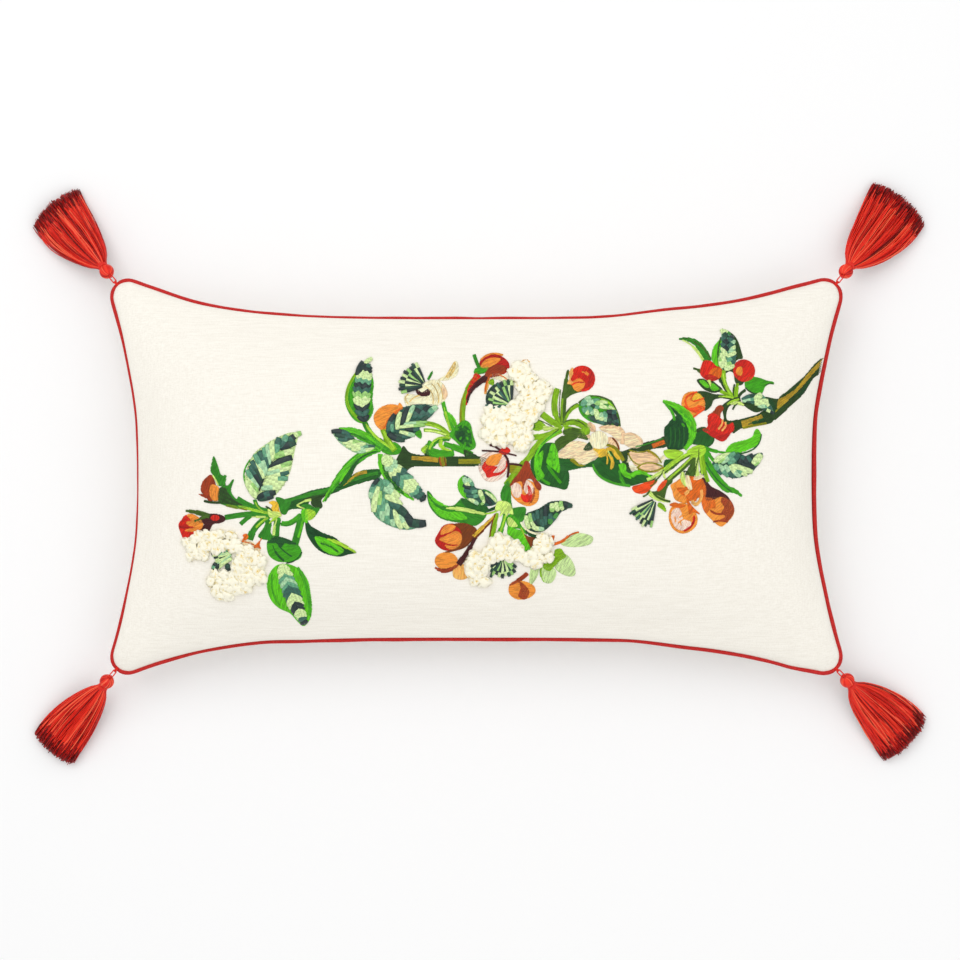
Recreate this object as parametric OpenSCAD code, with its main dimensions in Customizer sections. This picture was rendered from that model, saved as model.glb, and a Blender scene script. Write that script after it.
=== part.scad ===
// Oblong embroidered throw pillow with piping and four corner tassels.
// Origin: centre of the flat patch that the back rests on. X across, Y up the face, Z out of the face.

/* [Cushion] */
// Width across the corners, piping included
cushion_w = 660; // [500:1:800]
// Height across the corners, piping included
cushion_h = 357; // [280:1:500]
// How far the filling pulls in the middle of each long side
long_side_pull = 34; // [15:1:45]
// How far the filling pulls in the middle of each short side
short_side_pull = 22.8; // [8:0.2:35]
// How far each corner is cut back along X and Y by its rounding
corner_trim = 3.5; // [1:0.5:6]
// Height of the seam above the resting face, mid-side
seam_mid_z = 52; // [40:1:70]
// How much lower the seam lies at the corners
corner_drop = 12; // [0:1:20]
// Rise of the front above its seam
front_crown = 64; // [40:1:80]
// Fall of the back below its seam, before it flattens on the surface
back_crown = 62; // [50:1:80]

/* [Cloth] */
// Cloth thickness of the cover
cloth_t = 0.8; // [0.5:0.1:1.5]
// Radius of the piping
piping_r = 2.5; // [2:0.1:5]
// Radius of the cord in the piping
cord_r = 1.5; // [1:0.1:4]
// Width of the piping's seam allowance
allowance_w = 5; // [3:0.5:6]

/* [Zip] */
// Length of the zip opening
zip_len = 440; // [300:5:480]
// Distance of the zip below the middle of the cushion
zip_y = -128; // [-130:1:-120]
// Height of the zip's middle above the resting face
zip_z = 32.3; // [28:0.1:36]
// Slope of the zip's face
zip_slope = 46.8; // [40:0.1:55]
// Width of each tape
tape_w = 10; // [8:0.5:11]
// Radius of each coil
coil_r = 0.85; // [0.6:0.05:1]
// Distance of each coil from the zip's middle line
coil_y = 1.55; // [1.4:0.05:2]
// Length of the slider
slider_len = 12; // [8:1:16]
// Length of the pull tab
pull_len = 24; // [15:1:35]

/* [Tassels] */
// Plan distance from each tassel's hinge to its cut end, in the order TL, TR, BL, BR
tassel_reach = [89, 85, 82, 81]; // [60:1:110]
// Plan direction of each tassel
tassel_dir = [130, 49.3, 231, 311.2]; // [0:0.1:360]
// Width of each cut end
tassel_fan = [52, 58, 42, 52]; // [30:1:70]
// Thickness of the cut end
tassel_end_t = 11; // [6:1:16]
// Radius of the thread ball
head_r = 7.5; // [5:0.5:10]
// How steeply the ball and neck hang
head_droop = 32; // [20:1:40]

/* [Hidden] */
gap = 0.3;
panel_inset = 2 * piping_r + gap;
seam_gap = 0.45;
allowance_t = 0.5;
insert_inset = 22;
insert_clear = 6;
backing_inset = 14;
backing_clear = 1.2;
backing_t = 0.5;
slot_u = 0.6837;
slot_half = 4.5;
band_half = 13;
band_x = [224, 262];
embroidery_lift = 0.6;
corner_z = seam_mid_z - corner_drop;
thread_r = 0.6;
loop_r = 1.5;
loop_len = 5;
eye_r = 1.8;
eye_stand_off = 5.3;
eye_post_x = 2.2;
eye_half_h = 3.2;
hinge_x = eye_stand_off + loop_len + loop_r;
ball_x = eye_r + head_r - 0.5;
core_r = 3.4;
neck_start = ball_x + head_r - 1;
neck_end = neck_start + 5.5;

red = [0.78, 0.12, 0.11];
dark_red = [0.62, 0.07, 0.07];
ivory = [0.96, 0.94, 0.89];
white = [0.93, 0.93, 0.92];
leaf_green = [0.30, 0.66, 0.12];
ribbon_green = [0.20, 0.44, 0.32];
stem_green = [0.45, 0.62, 0.12];
branch_green = [0.22, 0.36, 0.12];
cream = [0.97, 0.94, 0.80];
orange = [0.96, 0.58, 0.18];
maroon = [0.36, 0.16, 0.12];
peach = [0.97, 0.86, 0.72];

// ---- Shape of the cushion. u and v run from -1 to 1 across and up the face. ----

function mix(a, b, t) = a * (1 - t) + b * t;
function smooth(t) = let(c = max(0, min(1, t))) c * c * (3 - 2 * c);
function half_w(v, w) = w / 2 - short_side_pull * (1 - pow(min(1, 1.095 * abs(v)), 2.6));
function half_h(u, h) = h / 2 - long_side_pull * (1 - pow(min(1, 1.05 * abs(u)), 4));
function corner_cut(u, v) = corner_trim * pow(abs(u), 60) * pow(abs(v), 32);
function plan(u, v, inset) =
    [u * half_w(v, cushion_w - 2 * inset) - sign(u) * corner_cut(u, v),
     v * half_h(u, cushion_h - 2 * inset) - sign(v) * corner_cut(u, v)];
function seam_z(u, v) = seam_mid_z - corner_drop * pow(abs(u * v), 3);
function puff(u, v) = pow(max(0, 1 - v * v), 0.6) * sqrt(max(0, 1 - pow(u, 4)));

// A point on the front, with the outline drawn in by inset and the dome lowered by drop.
function front_point(u, v, inset, drop) =
    let(p = plan(u, v, panel_inset + inset))
    [p.x, p.y, seam_z(u, v) + seam_gap + (front_crown - drop) * puff(u, v)];

// The zip's band of the back panel is flat, so that a straight zip lies in it.
function in_band(v) = v < -0.85 && v > -0.995 ? 1 : 0;
function band_share(x, v) = in_band(v) * (1 - smooth((abs(x) - band_x[0]) / (band_x[1] - band_x[0])));
function panel_half_h() = half_h(0, cushion_h - 2 * panel_inset);

function back_point(u, v, inset, drop) =
    let(p = plan(u, v, panel_inset + inset),
        m = band_share(p.x, v),
        z_free = max(drop, seam_z(u, v) - seam_gap - (back_crown - drop) * puff(u, v)),
        y_flat = v * panel_half_h(),
        z_flat = zip_z + tan(zip_slope) * (zip_y - y_flat))
    [p.x, mix(p.y, y_flat + drop * sin(zip_slope), m), mix(z_free, z_flat + drop * cos(zip_slope), m)];

// The v of a back panel row that lies the distance d up the zip's slope from its middle line.
function band_v(d) = (zip_y - d * cos(zip_slope)) / panel_half_h();

panel_us = [for (k = [-18:18]) abs(k) == 9 ? sign(k) * slot_u : sin(5 * k)];
panel_vs = [for (k = [-10:10]) sin(9 * k)];
back_vs = concat(
    [-1, band_v(band_half), band_v(slot_half), band_v(-slot_half), band_v(-band_half), -0.74, -0.6, -0.42, -0.2],
    [for (k = [0:10]) sin(9 * k)]);
slot_cells = [2, 9, 27];
inner_us = [for (k = [-9:9]) sin(10 * k)];
inner_vs = [for (k = [-5:5]) sin(18 * k)];

// ---- Closed sheets of cloth ----

// Triangles of a closed skin between an upper and a lower sheet of rows x cols points.
// The cells of row slot[0] from column slot[1] up to slot[2] are left open.
function cell_there(i, j, rows, cols, slot) =
    i >= 0 && j >= 0 && i < cols - 1 && j < rows - 1 && !(j == slot[0] && i >= slot[1] && i < slot[2]);
function two_triangles(a, b, c, d) = [[a, b, c], [a, c, d]];
function skin_faces(rows, cols, slot) =
    let(n = rows * cols)
    [for (j = [0:rows - 2], i = [0:cols - 2]) if (cell_there(i, j, rows, cols, slot))
        let(a = j * cols + i, b = a + 1, c = a + cols, d = c + 1)
        each concat(
            two_triangles(a, c, d, b),
            two_triangles(n + a, n + b, n + d, n + c),
            cell_there(i, j - 1, rows, cols, slot) ? [] : two_triangles(a, b, n + b, n + a),
            cell_there(i, j + 1, rows, cols, slot) ? [] : two_triangles(d, c, n + c, n + d),
            cell_there(i - 1, j, rows, cols, slot) ? [] : two_triangles(c, a, n + a, n + c),
            cell_there(i + 1, j, rows, cols, slot) ? [] : two_triangles(b, d, n + d, n + b))];

module skin(upper, lower, cols, slot = [-1, 0, 0]) {
    rows = len(upper) / cols;
    polyhedron(points = concat(upper, lower), faces = skin_faces(rows, cols, slot), convexity = 6);
}

function front_sheet(us, vs, inset, drop) = [for (v = vs, u = us) front_point(u, v, inset, drop)];
function back_sheet(us, vs, inset, drop) = [for (v = vs, u = us) back_point(u, v, inset, drop)];
function lower_back_sheet(us, vs, inset, drop) =
    [for (v = vs, u = us)
        let(p = plan(u, v, panel_inset + inset))
        [p.x, p.y, max(drop, seam_z(u, v) - 2 - (back_crown - drop) * puff(u, v))]];
function raised(sheet, dz) = [for (p = sheet) [p.x, p.y, p.z + dz]];

module front_panel() color(ivory)
    skin(front_sheet(panel_us, panel_vs, 0, 0),
        front_sheet(panel_us, panel_vs, cloth_t, cloth_t), len(panel_us));

module back_panel() color(ivory)
    skin(back_sheet(panel_us, back_vs, cloth_t, cloth_t),
        back_sheet(panel_us, back_vs, 0, 0), len(panel_us), slot_cells);

module embroidery_backing() color(white)
    skin(front_sheet(inner_us, inner_vs, backing_inset, 2 * cloth_t + backing_clear),
        raised(front_sheet(inner_us, inner_vs, backing_inset, 2 * cloth_t + backing_clear), -backing_t),
        len(inner_us));

module insert_front_ticking() color(white)
    skin(front_sheet(inner_us, inner_vs, insert_inset, insert_clear),
        front_sheet(inner_us, inner_vs, insert_inset + cloth_t, insert_clear + cloth_t), len(inner_us));

module insert_back_ticking() color(white)
    skin(lower_back_sheet(inner_us, inner_vs, insert_inset + cloth_t, 1.2 + cloth_t),
        lower_back_sheet(inner_us, inner_vs, insert_inset, 1.2), len(inner_us));

module insert_filling() color([0.97, 0.97, 0.97])
    skin(front_sheet(inner_us, inner_vs, insert_inset + 2 * cloth_t, insert_clear + 1.5 * cloth_t + gap),
        lower_back_sheet(inner_us, inner_vs, insert_inset + 2 * cloth_t, 1.2 + 1.5 * cloth_t + gap),
        len(inner_us));

// ---- Piping round the seam ----

// Stations run once round the outline, from the middle of the bottom edge and back to it.
function edge_step(k, n) = sin(90 * k / n);
long_n = 13;
short_n = 7;
seam_stations = concat(
    [for (k = [0:long_n]) [edge_step(k, long_n), -1]],
    [for (k = [-short_n + 1:short_n]) [1, edge_step(k, short_n)]],
    [for (k = [long_n - 1:-1:-long_n]) [edge_step(k, long_n), 1]],
    [for (k = [short_n - 1:-1:-short_n]) [-1, edge_step(k, short_n)]],
    [for (k = [-long_n + 1:0]) [edge_step(k, long_n), -1]]);
join_gap = 0.5;

function seam_line(k) =
    let(s = seam_stations[k],
        p = plan(s[0], s[1], piping_r),
        last = len(seam_stations) - 1,
        dx = k == 0 ? join_gap / 2 : (k == last ? -join_gap / 2 : 0))
    [p.x + dx, p.y, seam_z(s[0], s[1])];
function flat_unit(v) = [v.x, v.y, 0] / norm([v.x, v.y]);
function seam_outward(k) =
    let(last = len(seam_stations) - 1,
        along = flat_unit(seam_line(min(last, k + 1)) - seam_line(max(0, k - 1))))
    (k == 0 || k == last) ? [0, -1, 0] : [along.y, -along.x, 0];

sleeve_angles = [0, 60, 120, 168, 176, 184, 192, 240, 300];
function sleeve_section(k) = let(r = piping_r) [for (n = [0:8])
    (n == 3 || n == 6) ? [-r + 0.1, n == 3 ? allowance_t / 2 : -allowance_t / 2] :
    (n == 4 || n == 5) ? [-r - allowance_w, n == 4 ? allowance_t / 2 : -allowance_t / 2] :
    r * [cos(sleeve_angles[n]), sin(sleeve_angles[n])]];
function bore_section() = [for (a = sleeve_angles) (piping_r - 0.55) * [cos(a), sin(a)]];
function cord_section() = [for (n = [0:5]) cord_r * [cos(60 * n), sin(60 * n)]];

function swept(section) = [for (k = [0:len(seam_stations) - 1])
    let(c = seam_line(k), out = seam_outward(k))
    each [for (s = section) c + s[0] * out + [0, 0, s[1]]]];
function side_faces(rings, n, first, flip) =
    [for (k = [0:rings - 2], i = [0:n - 1])
        let(a = first + k * n + i, b = first + k * n + (i + 1) % n, c = a + n, d = b + n)
        each (flip ? two_triangles(a, b, d, c) : two_triangles(a, c, d, b))];
function end_fan(first, n, flip) = [for (i = [1:n - 2])
    flip ? [first, first + i, first + i + 1] : [first, first + i + 1, first + i]];

module piping_sleeve() color(red) {
    rings = len(seam_stations);
    n = len(sleeve_angles);
    bore = rings * n;
    last = (rings - 1) * n;
    rims = [for (i = [0:n - 1]) let(j = (i + 1) % n) each concat(
        two_triangles(i, j, bore + j, bore + i),
        two_triangles(last + j, last + i, bore + last + i, bore + last + j))];
    polyhedron(
        points = concat(swept(sleeve_section(0)), swept(bore_section())),
        faces = concat(side_faces(rings, n, 0, false), side_faces(rings, n, bore, true), rims),
        convexity = 8);
}

module piping_cord() color(white) {
    rings = len(seam_stations);
    n = 6;
    polyhedron(
        points = swept(cord_section()),
        faces = concat(side_faces(rings, n, 0, false), end_fan(0, n, true),
            end_fan((rings - 1) * n, n, false)),
        convexity = 6);
}

// ---- Embroidery: strips and low domes that follow the front ----

function uv_at(x, y, u = 0, v = 0, n = 5) = n == 0 ? [u, v] :
    uv_at(x, y, x / half_w(v, cushion_w - 2 * panel_inset), y / half_h(u, cushion_h - 2 * panel_inset), n - 1);
function front_z(p) = let(q = uv_at(p.x, p.y)) front_point(q[0], q[1], 0, 0).z;
function on_front(p, rise) = [p.x, p.y, front_z(p) + embroidery_lift + rise];

// A strip runs along a curve from a to b, pulled towards c. Each row of a list of strips is
// [a, c, b, width at a, width at b, extra width in the middle].
function curve(s, t) = s[0] * (1 - t) * (1 - t) + s[1] * 2 * t * (1 - t) + s[2] * t * t;
function curve_side(s, t) =
    let(d = (s[1] - s[0]) * (1 - t) + (s[2] - s[1]) * t, n = norm(d)) [-d.y, d.x] / n;
function strip_half(s, t) = (mix(s[3], s[4], t) + s[5] * pow(sin(180 * t), 0.9)) / 2;
function strip_points(s, steps, base, edge, ridge) = [for (k = [0:steps])
    let(t = k / steps, m = curve(s, t), w = strip_half(s, t) * curve_side(s, t))
    each [on_front(m + w, base), on_front(m, base), on_front(m - w, base),
        on_front(m + w, edge), on_front(m, ridge), on_front(m - w, edge)]];
function strip_faces(steps, first) = concat(
    [for (k = [0:steps - 1])
        let(a = first + 6 * k, b = a + 6)
        each concat(
            two_triangles(a, a + 1, b + 1, b), two_triangles(a + 1, a + 2, b + 2, b + 1),
            two_triangles(a + 3, b + 3, b + 4, a + 4), two_triangles(a + 4, b + 4, b + 5, a + 5),
            two_triangles(a, b, b + 3, a + 3), two_triangles(a + 2, a + 5, b + 5, b + 2))],
    let(a = first, b = first + 6 * steps)
    concat(two_triangles(a, a + 3, a + 4, a + 1), two_triangles(a + 1, a + 4, a + 5, a + 2),
        two_triangles(b, b + 1, b + 4, b + 3), two_triangles(b + 1, b + 2, b + 5, b + 4)));

module strips(list, steps, edge, ridge) {
    per = 6 * (steps + 1);
    polyhedron(
        points = [for (s = list) each strip_points(s, steps, 0, edge, ridge)],
        faces = [for (n = [0:len(list) - 1]) each strip_faces(steps, n * per)],
        convexity = 8);
}

// A dome is [centre, radius across, radius up, turn].
function dome_ring(d, size, rise, sides) = [for (n = [0:sides - 1])
    let(a = 360 * n / sides, p = size * [d[1] * cos(a), d[2] * sin(a)])
    on_front(d[0] + [p.x * cos(d[3]) - p.y * sin(d[3]), p.x * sin(d[3]) + p.y * cos(d[3])], rise)];
function dome_points(d, height, sides) = concat(dome_ring(d, 1, 0, sides), dome_ring(d, 1, 0.4 * height, sides),
    dome_ring(d, 0.6, 0.85 * height, sides), [on_front(d[0], height)]);
function dome_faces(first, n) = concat(
    end_fan(first, n, true),
    [for (r = [0:1], i = [0:n - 1])
        let(a = first + r * n + i, b = first + r * n + (i + 1) % n)
        each two_triangles(a, a + n, b + n, b)],
    [for (i = [0:n - 1]) [first + 3 * n, first + 2 * n + (i + 1) % n, first + 2 * n + i]]);

module domes(list, height, sides) {
    per = 3 * sides + 1;
    polyhedron(
        points = [for (d = list) each dome_points(d, height, sides)],
        faces = [for (n = [0:len(list) - 1]) each dome_faces(n * per, sides)],
        convexity = 8);
}

branches = [
    [[-68, 15.5], [-40, 13], [2, 13.5], 16, 9, -3],
    [[29, 8], [34, 7.5], [40, 6], 7, 7, 0],
    [[74, 10.5], [90, 10], [106, 11], 9, 5, 0],
    [[129, 19], [148, 25], [171, 31], 9, 7, 0],
    [[197, 35], [205, 37], [213, 34], 15, 8, 0],
    [[228, 45], [246, 49], [265, 55], 8, 11, 0],
    [[268, 60], [284, 70], [317, 107], 15, 4, -1],
    [[-88, 2], [-118, -4], [-150, -17], 8, 8, 0],
    [[-151, -18.5], [-165, -22], [-182, -30], 8, 11, 0],
    [[-140, -24], [-148, -25], [-156, -27], 10, 3, 0]];

stems = [
    [[-226, -24], [-210, -29], [-188, -33], 3, 3.5, 0],
    [[-228, -37], [-210, -36], [-188, -35], 5, 3.5, 0],
    [[-198, -22], [-195, -29], [-187, -31], 3, 3, 0],
    [[-184, -37], [-199, -44], [-206, -58], 3.5, 6, 0],
    [[-182, -38], [-188, -45], [-187, -53], 3, 4.5, 0],
    [[-178, -36], [-180, -44], [-180, -52], 3, 4, 0],
    [[-152, -31], [-154, -36], [-152, -41], 4, 4, 0],
    [[-99, 49], [-98, 36], [-77, 27], 4, 4.5, 0],
    [[-83, 41], [-80, 33], [-73, 23], 4, 6, 0],
    [[-46, 46.5], [-33, 46], [-24, 39], 3.5, 3, 0],
    [[-46, 41], [-36, 41], [-25, 36], 3.5, 3, 0],
    [[-30, 66], [-27, 52], [-22, 42], 3.5, 4, 0],
    [[4, 90], [-14, 78], [-13, 51], 8, 4, 0],
    [[-29, 29], [-12, 23], [2, 18.5], 5, 6, 0],
    [[84, 83], [77, 70], [78, 52], 9, 4, 0],
    [[93, 63], [86, 58], [80, 51], 3, 3, 0],
    [[75, 40], [52, 30], [43, 13], 4, 7, 0],
    [[42, 11], [33, -3], [27, -20], 6, 9, 0],
    [[73, 79], [67, 60], [75, 49], 3, 3, 2],
    [[13, -54], [14, -42], [20, -33], 5, 3, 0],
    [[20, -52], [25, -44], [27, -35], 4, 4, 0],
    [[-6, -56], [2, -48], [17, -35], 4, 3, 0],
    [[168, 7], [180, 14], [195, 21], 5, 5, 0],
    [[172, -4], [182, 8], [196, 18.5], 4, 4, 0],
    [[194, 1], [195, 8], [198, 18], 6, 3, 0],
    [[208, -4], [204, 6], [202, 17], 3.5, 3.5, 0],
    [[213, 13], [208, 16], [203, 21], 3, 3.5, 0],
    [[228, 21], [216, 20], [206, 23], 4, 4, 0],
    [[226, 49], [216, 62], [232, 67], 5, 5, 0],
    [[240, 65], [250, 63], [261, 56], 5, 8, 0],
    [[208, 72], [218, 73], [230, 70.5], 6, 3, 0],
    [[222, 93], [226, 82], [232, 73], 4, 3, 0],
    [[236, 84], [235, 78], [234, 73], 4, 3, 0],
    [[228, 93], [240, 90], [237, 76], 7, 5, 0]];

thread_leaves = [
    [[-99, 49], [-113, 76], [-97, 104], 2, 3, 22],
    [[-91, 26], [-108, 33], [-129, 41], 3, 1, 15],
    [[-88, 23], [-112, 20], [-137, -23], 3, 1.5, 6],
    [[-87, 15], [-84, -6], [-58, -20], 3, 1.5, 3],
    [[-151, -33], [-160, -52], [-159, -71], 4, 1.5, 3],
    [[-177, -80], [-170, -103], [-157, -134], 4, 1.5, 25],
    [[-12, 50], [-13, 37], [-7, 24], 9, 10, 12],
    [[-21, 21], [-46, 17], [-38, 33], 3, 3, 5],
    [[6, -35], [-20, -38], [-44, -16], 10, 2, 9],
    [[68, 29], [47, 8], [80, -6], 5, 9, 14],
    [[69, 27], [76, 33], [98, 33], 8, 2, 1],
    [[80, 46], [98, 53], [101, 39], 4, 4, 2],
    [[76, 46], [66, 51], [58, 57], 4, 4, 0],
    [[62, 46], [55, 46], [49, 47], 5, 7, 0],
    [[107, 12], [118, -6], [159, -1], 6, 2, 13],
    [[170, 67], [197, 56], [190, 27], 3, 5, 5],
    [[179, 54], [174, 44], [180, 26], 8, 14, 7],
    [[169, 21], [178, 20], [189, 22], 7, 3, 1],
    [[204, 18], [212, -8], [238, -17], 5, 2, 3],
    [[226, 23], [247, 25], [254, 41], 5, 4, 4],
    [[200, 86], [208, 79], [218, 76], 3, 2, 5],
    [[228, 96], [227, 114], [226, 133], 6, 2, 19],
    [[184, 125], [200, 122], [212, 105], 2, 5, 1],
    [[245, 82], [256, 84], [268, 85], 6, 1.5, 8],
    [[32, -45], [38, -53], [45, -64], 6, 9, 0],
    [[38, -29], [36, -37], [41, -44], 11, 5, 0],
    [[-231, -4], [-235, 6], [-236, 18], 8, 1, 0]];

ribbon_leaf_strips = [
    [[-198, -20], [-191, 11], [-158, 38], 10, 3, 31],
    [[-152, -42], [-128, -50], [-110, -67], 5, 2, 9],
    [[-189, -66], [-174, -61], [-161, -68], 4, 4, 16],
    [[-79, 38], [-62, 46], [-34, 63], 8, 1.5, 18],
    [[-85, 17], [-66, 7], [-45, -20], 5, 2, 10],
    [[-90, -3], [-92, -29], [-46, -42], 5, 3, 19],
    [[93, 64], [112, 61], [127, 48], 6, 4, 16],
    [[17, -24], [4, -14], [-10, 0], 5, 4, 9],
    [[45, -40], [62, -39], [85, -26], 10, 2, 12],
    [[214, 11], [235, 7], [257, 18], 5, 3, 14],
    [[240, 70], [256, 71], [269, 58], 4, 2, 7]];

// Each tuft is a fan of folded ribbon from its first point out to an arc: [root, out, spread, folds].
tufts = [
    [[-220, -84], [-241, -74], 70, 5],
    [[-47, 82], [-68, 92], 80, 6],
    [[31, 66], [10, 76], 75, 6],
    [[23, -74], [24, -91], 75, 5],
    [[161, -21], [143, -39], 75, 6]];
function fan_strip(f, k) =
    let(reach = f[1] - f[0], turn = f[2] * (k / (f[3] - 1) - 0.5),
        out = [reach.x * cos(turn) - reach.y * sin(turn), reach.x * sin(turn) + reach.y * cos(turn)],
        w = 0.8 * norm(reach) * 2 * PI * f[2] / 360 / f[3])
    [f[0] + 0.22 * out, f[0] + 0.6 * out, f[0] + out, 0.28 * w, w, 0];

// Each blossom is a patch of ribbon ruffles: [centre, half width, half height, ruffles].
blossoms = [
    [[-217, -79], 23, 26, 20],
    [[-247, -67], 11, 10, 5],
    [[27, 47], 22, 20, 18],
    [[42, 85], 17, 14, 10],
    [[24, -68], 20, 12, 12],
    [[2, -85], 9, 12, 6],
    [[54, -67], 12, 13, 7]];
ruffle_r = 4.2;
function ruffle(b, k) =
    let(r = sqrt((k + 0.5) / b[3]), a = 137.508 * k)
    [b[0] + [b[1] * r * cos(a), b[2] * r * sin(a)], ruffle_r, 0.75 * ruffle_r, a];

red_buds = [
    [[-258, -46], 11, 11, 0],
    [[-243, -11], 6, 11, 0],
    [[17, 102], 15, 9, -20],
    [[96, 88], 11, 11, 0],
    [[13, 7], 10, 8, 30],
    [[212, 95], 9, 8.5, 0],
    [[243, 97], 9, 8.5, 0],
    [[218, 43], 12, 9, -20],
    [[168, -8], 2.5, 6, -35],
    [[150, -9], 11, 4, 15]];

orange_buds = [
    [[-82, 53], 11, 12, 0],
    [[-234, -14], 3, 8, 0],
    [[-25, -53], 11, 11, 0],
    [[-28, -77], 10, 9, 0],
    [[44, -14], 11, 10, 0],
    [[42, -102], 12, 8, 0],
    [[185, -39], 12, 11, 0],
    [[190, -13], 12, 10, 0],
    [[218, -31], 13, 11, -20],
    [[195, 66], 11, 9.5, 0]];

calyxes = [
    [[-250, -47], [-238, -45], [-227, -38], 10, 3, 0],
    [[-231, -22], [-226, -18], [-222, -12], 7, 7, 0],
    [[1, -44], [-10, -48], [-15, -68], 4, 11, 0],
    [[-5, -58], [-9, -68], [-16, -78], 4, 3, 0],
    [[46, 12], [44, 6], [43, -3], 4, 19, 0],
    [[45, -55], [49, -56], [49, -63], 5, 3, 4],
    [[205, 73], [212, 69], [206, 60], 6, 3, 3],
    [[208, 55], [214, 55], [220, 62], 5, 3, 0],
    [[204, -3], [208, -13], [226, -19], 4, 5, 3],
    [[174, -8], [169, -13], [164, -17], 5, 9, 0],
    [[-53, 76], [-49, 73], [-43, 74.5], 4, 4, 0]];

petals = [
    [[72, 19], [90, 27], [106, 19], 4, 4, 14],
    [[103, 33], [110, 33], [117, 32], 8, 8, 7],
    [[111, 42], [122, 46], [132, 35], 4, 6, 5],
    [[133, 35], [141, 35], [148, 31], 6, 2, 7],
    [[137, 19.5], [152, 22], [164, 12.5], 4, 2, 7],
    [[147, 8.5], [156, 10], [167, 7], 2, 2, 7],
    [[-38, 86], [-34, 76], [-38, 67], 6, 8, 12],
    [[-62, 71], [-50, 68], [-42, 68], 3, 7, 1],
    [[-31, 89], [-22, 91], [-18, 103], 2, 6, 3],
    [[-20, -85], [-14, -85], [-9, -85], 8, 8, 3],
    [[76, -60], [90, -52], [103, -57], 3, 5, 6],
    [[74, -74], [82, -78], [86, -88], 8, 4, 7],
    [[62, -82], [60, -90], [67, -95], 4, 5, 5],
    [[60, -79], [66, -71], [80, -68], 8, 4, 2]];

module branch_stitching() color(branch_green) strips(branches, 5, 0.7, 1.1);
module stem_stitching() color(stem_green) strips(stems, 3, 0.5, 0.9);
module leaf_stitching() color(leaf_green) strips(thread_leaves, 5, 0.5, 0.8);
module ribbon_leaves() color(ribbon_green) strips(ribbon_leaf_strips, 6, 0.9, 2.0);
module ribbon_tufts() color(ribbon_green)
    strips([for (f = tufts, k = [0:f[3] - 1]) fan_strip(f, k)], 2, 1.2, 3.5);
module ribbon_blossoms() color(cream)
    domes([for (b = blossoms, k = [0:b[3] - 1]) ruffle(b, k)], 4, 6);
module red_bud_stitching() color(red) domes(red_buds, 1.6, 10);
module orange_bud_stitching() color(orange) domes(orange_buds, 1.6, 10);
module calyx_stitching() color(maroon) strips(calyxes, 3, 0.6, 1.0);
module petal_stitching() color(peach) strips(petals, 4, 0.4, 0.6);

// ---- Zip in the back panel ----

module on_zip() translate([0, zip_y, zip_z]) rotate([180 - zip_slope, 0, 0]) children();
tape_top = -cloth_t - gap;
tape_t = 0.6;
coil_z = tape_top + coil_r;
plate_t = 1.0;
outer_plate_z = coil_z + coil_r + gap;
inner_plate_z = tape_top - tape_t - gap - plate_t;
slider_half_w = 3.8;
post_w = 0.8;
bridge_h = 1.8;
pin_z = outer_plate_z + plate_t + bridge_h / 2;
slider_x = zip_len / 2 - slider_len / 2 - 4;

module zip_tape(side) color(white) on_zip()
    translate([-zip_len / 2 - 1, side > 0 ? 1 : -1 - tape_w, tape_top - tape_t])
        cube([zip_len + 2, tape_w, tape_t]);
module zip_coil(side) color(white) on_zip()
    translate([-zip_len / 2 + 3, side * coil_y, coil_z]) rotate([0, 90, 0])
        cylinder(r = coil_r, h = zip_len - 6.5, $fn = 24);
module zip_tape_upper() zip_tape(1);
module zip_tape_lower() zip_tape(-1);
module zip_coil_upper() zip_coil(1);
module zip_coil_lower() zip_coil(-1);

module at_slider() on_zip() translate([slider_x, 0, 0]) children();

module zip_slider() color(ivory) at_slider() {
    translate([-slider_len / 2, -slider_half_w, outer_plate_z]) cube([slider_len, 2 * slider_half_w, plate_t]);
    translate([-slider_len / 2, -slider_half_w, inner_plate_z]) cube([slider_len, 2 * slider_half_w, plate_t]);
    translate([-1.5, -post_w / 2, inner_plate_z + plate_t])
        cube([3, post_w, outer_plate_z - inner_plate_z - plate_t]);
    for (side = [-1, 1])
        translate([-slider_len / 2, side > 0 ? slider_half_w - 0.8 : -slider_half_w, -cloth_t + gap])
            cube([slider_len, 0.8, outer_plate_z + cloth_t - gap]);
    for (end = [-1, 1])
        translate([end > 0 ? 2.6 : -3.4, -0.6, outer_plate_z + plate_t]) cube([0.8, 1.2, bridge_h + 0.8]);
    translate([-3.4, -0.6, outer_plate_z + plate_t + bridge_h]) cube([6.8, 1.2, 0.8]);
}

// The pull hangs straight out from the slope of the zip.
module zip_pull() color(ivory) at_slider() translate([0, 0, pin_z]) rotate([0, 90, 0]) {
    rotate([90, 0, 0]) cylinder(r = 0.5, h = 4.6, center = true, $fn = 24);
    for (side = [-1, 1])
        translate([-5.5, side > 0 ? 1.3 : -2.3, -0.5]) cube([6, 1, 1]);
    difference() {
        translate([-pull_len, -2.5, -0.5]) cube([pull_len - 5, 5, 1]);
        translate([-pull_len + 3, 0, -1]) cylinder(r = 1.2, h = 2, $fn = 24);
    }
}

module zip_stop(x) color(white) on_zip() translate([x, -3.2, tape_top + 0.02]) cube([2.2, 6.4, 2.1]);
module zip_top_stop() zip_stop(zip_len / 2 - 3);
module zip_bottom_stop() zip_stop(-zip_len / 2 + 0.3);
module zip_topstitching() color(ivory) on_zip() for (side = [-1, 1])
    translate([-zip_len / 2, side * 8, 0.4]) rotate([0, 90, 0]) cylinder(r = 0.35, h = zip_len, $fn = 16);

// ---- Tassels, one at each corner ----

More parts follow.
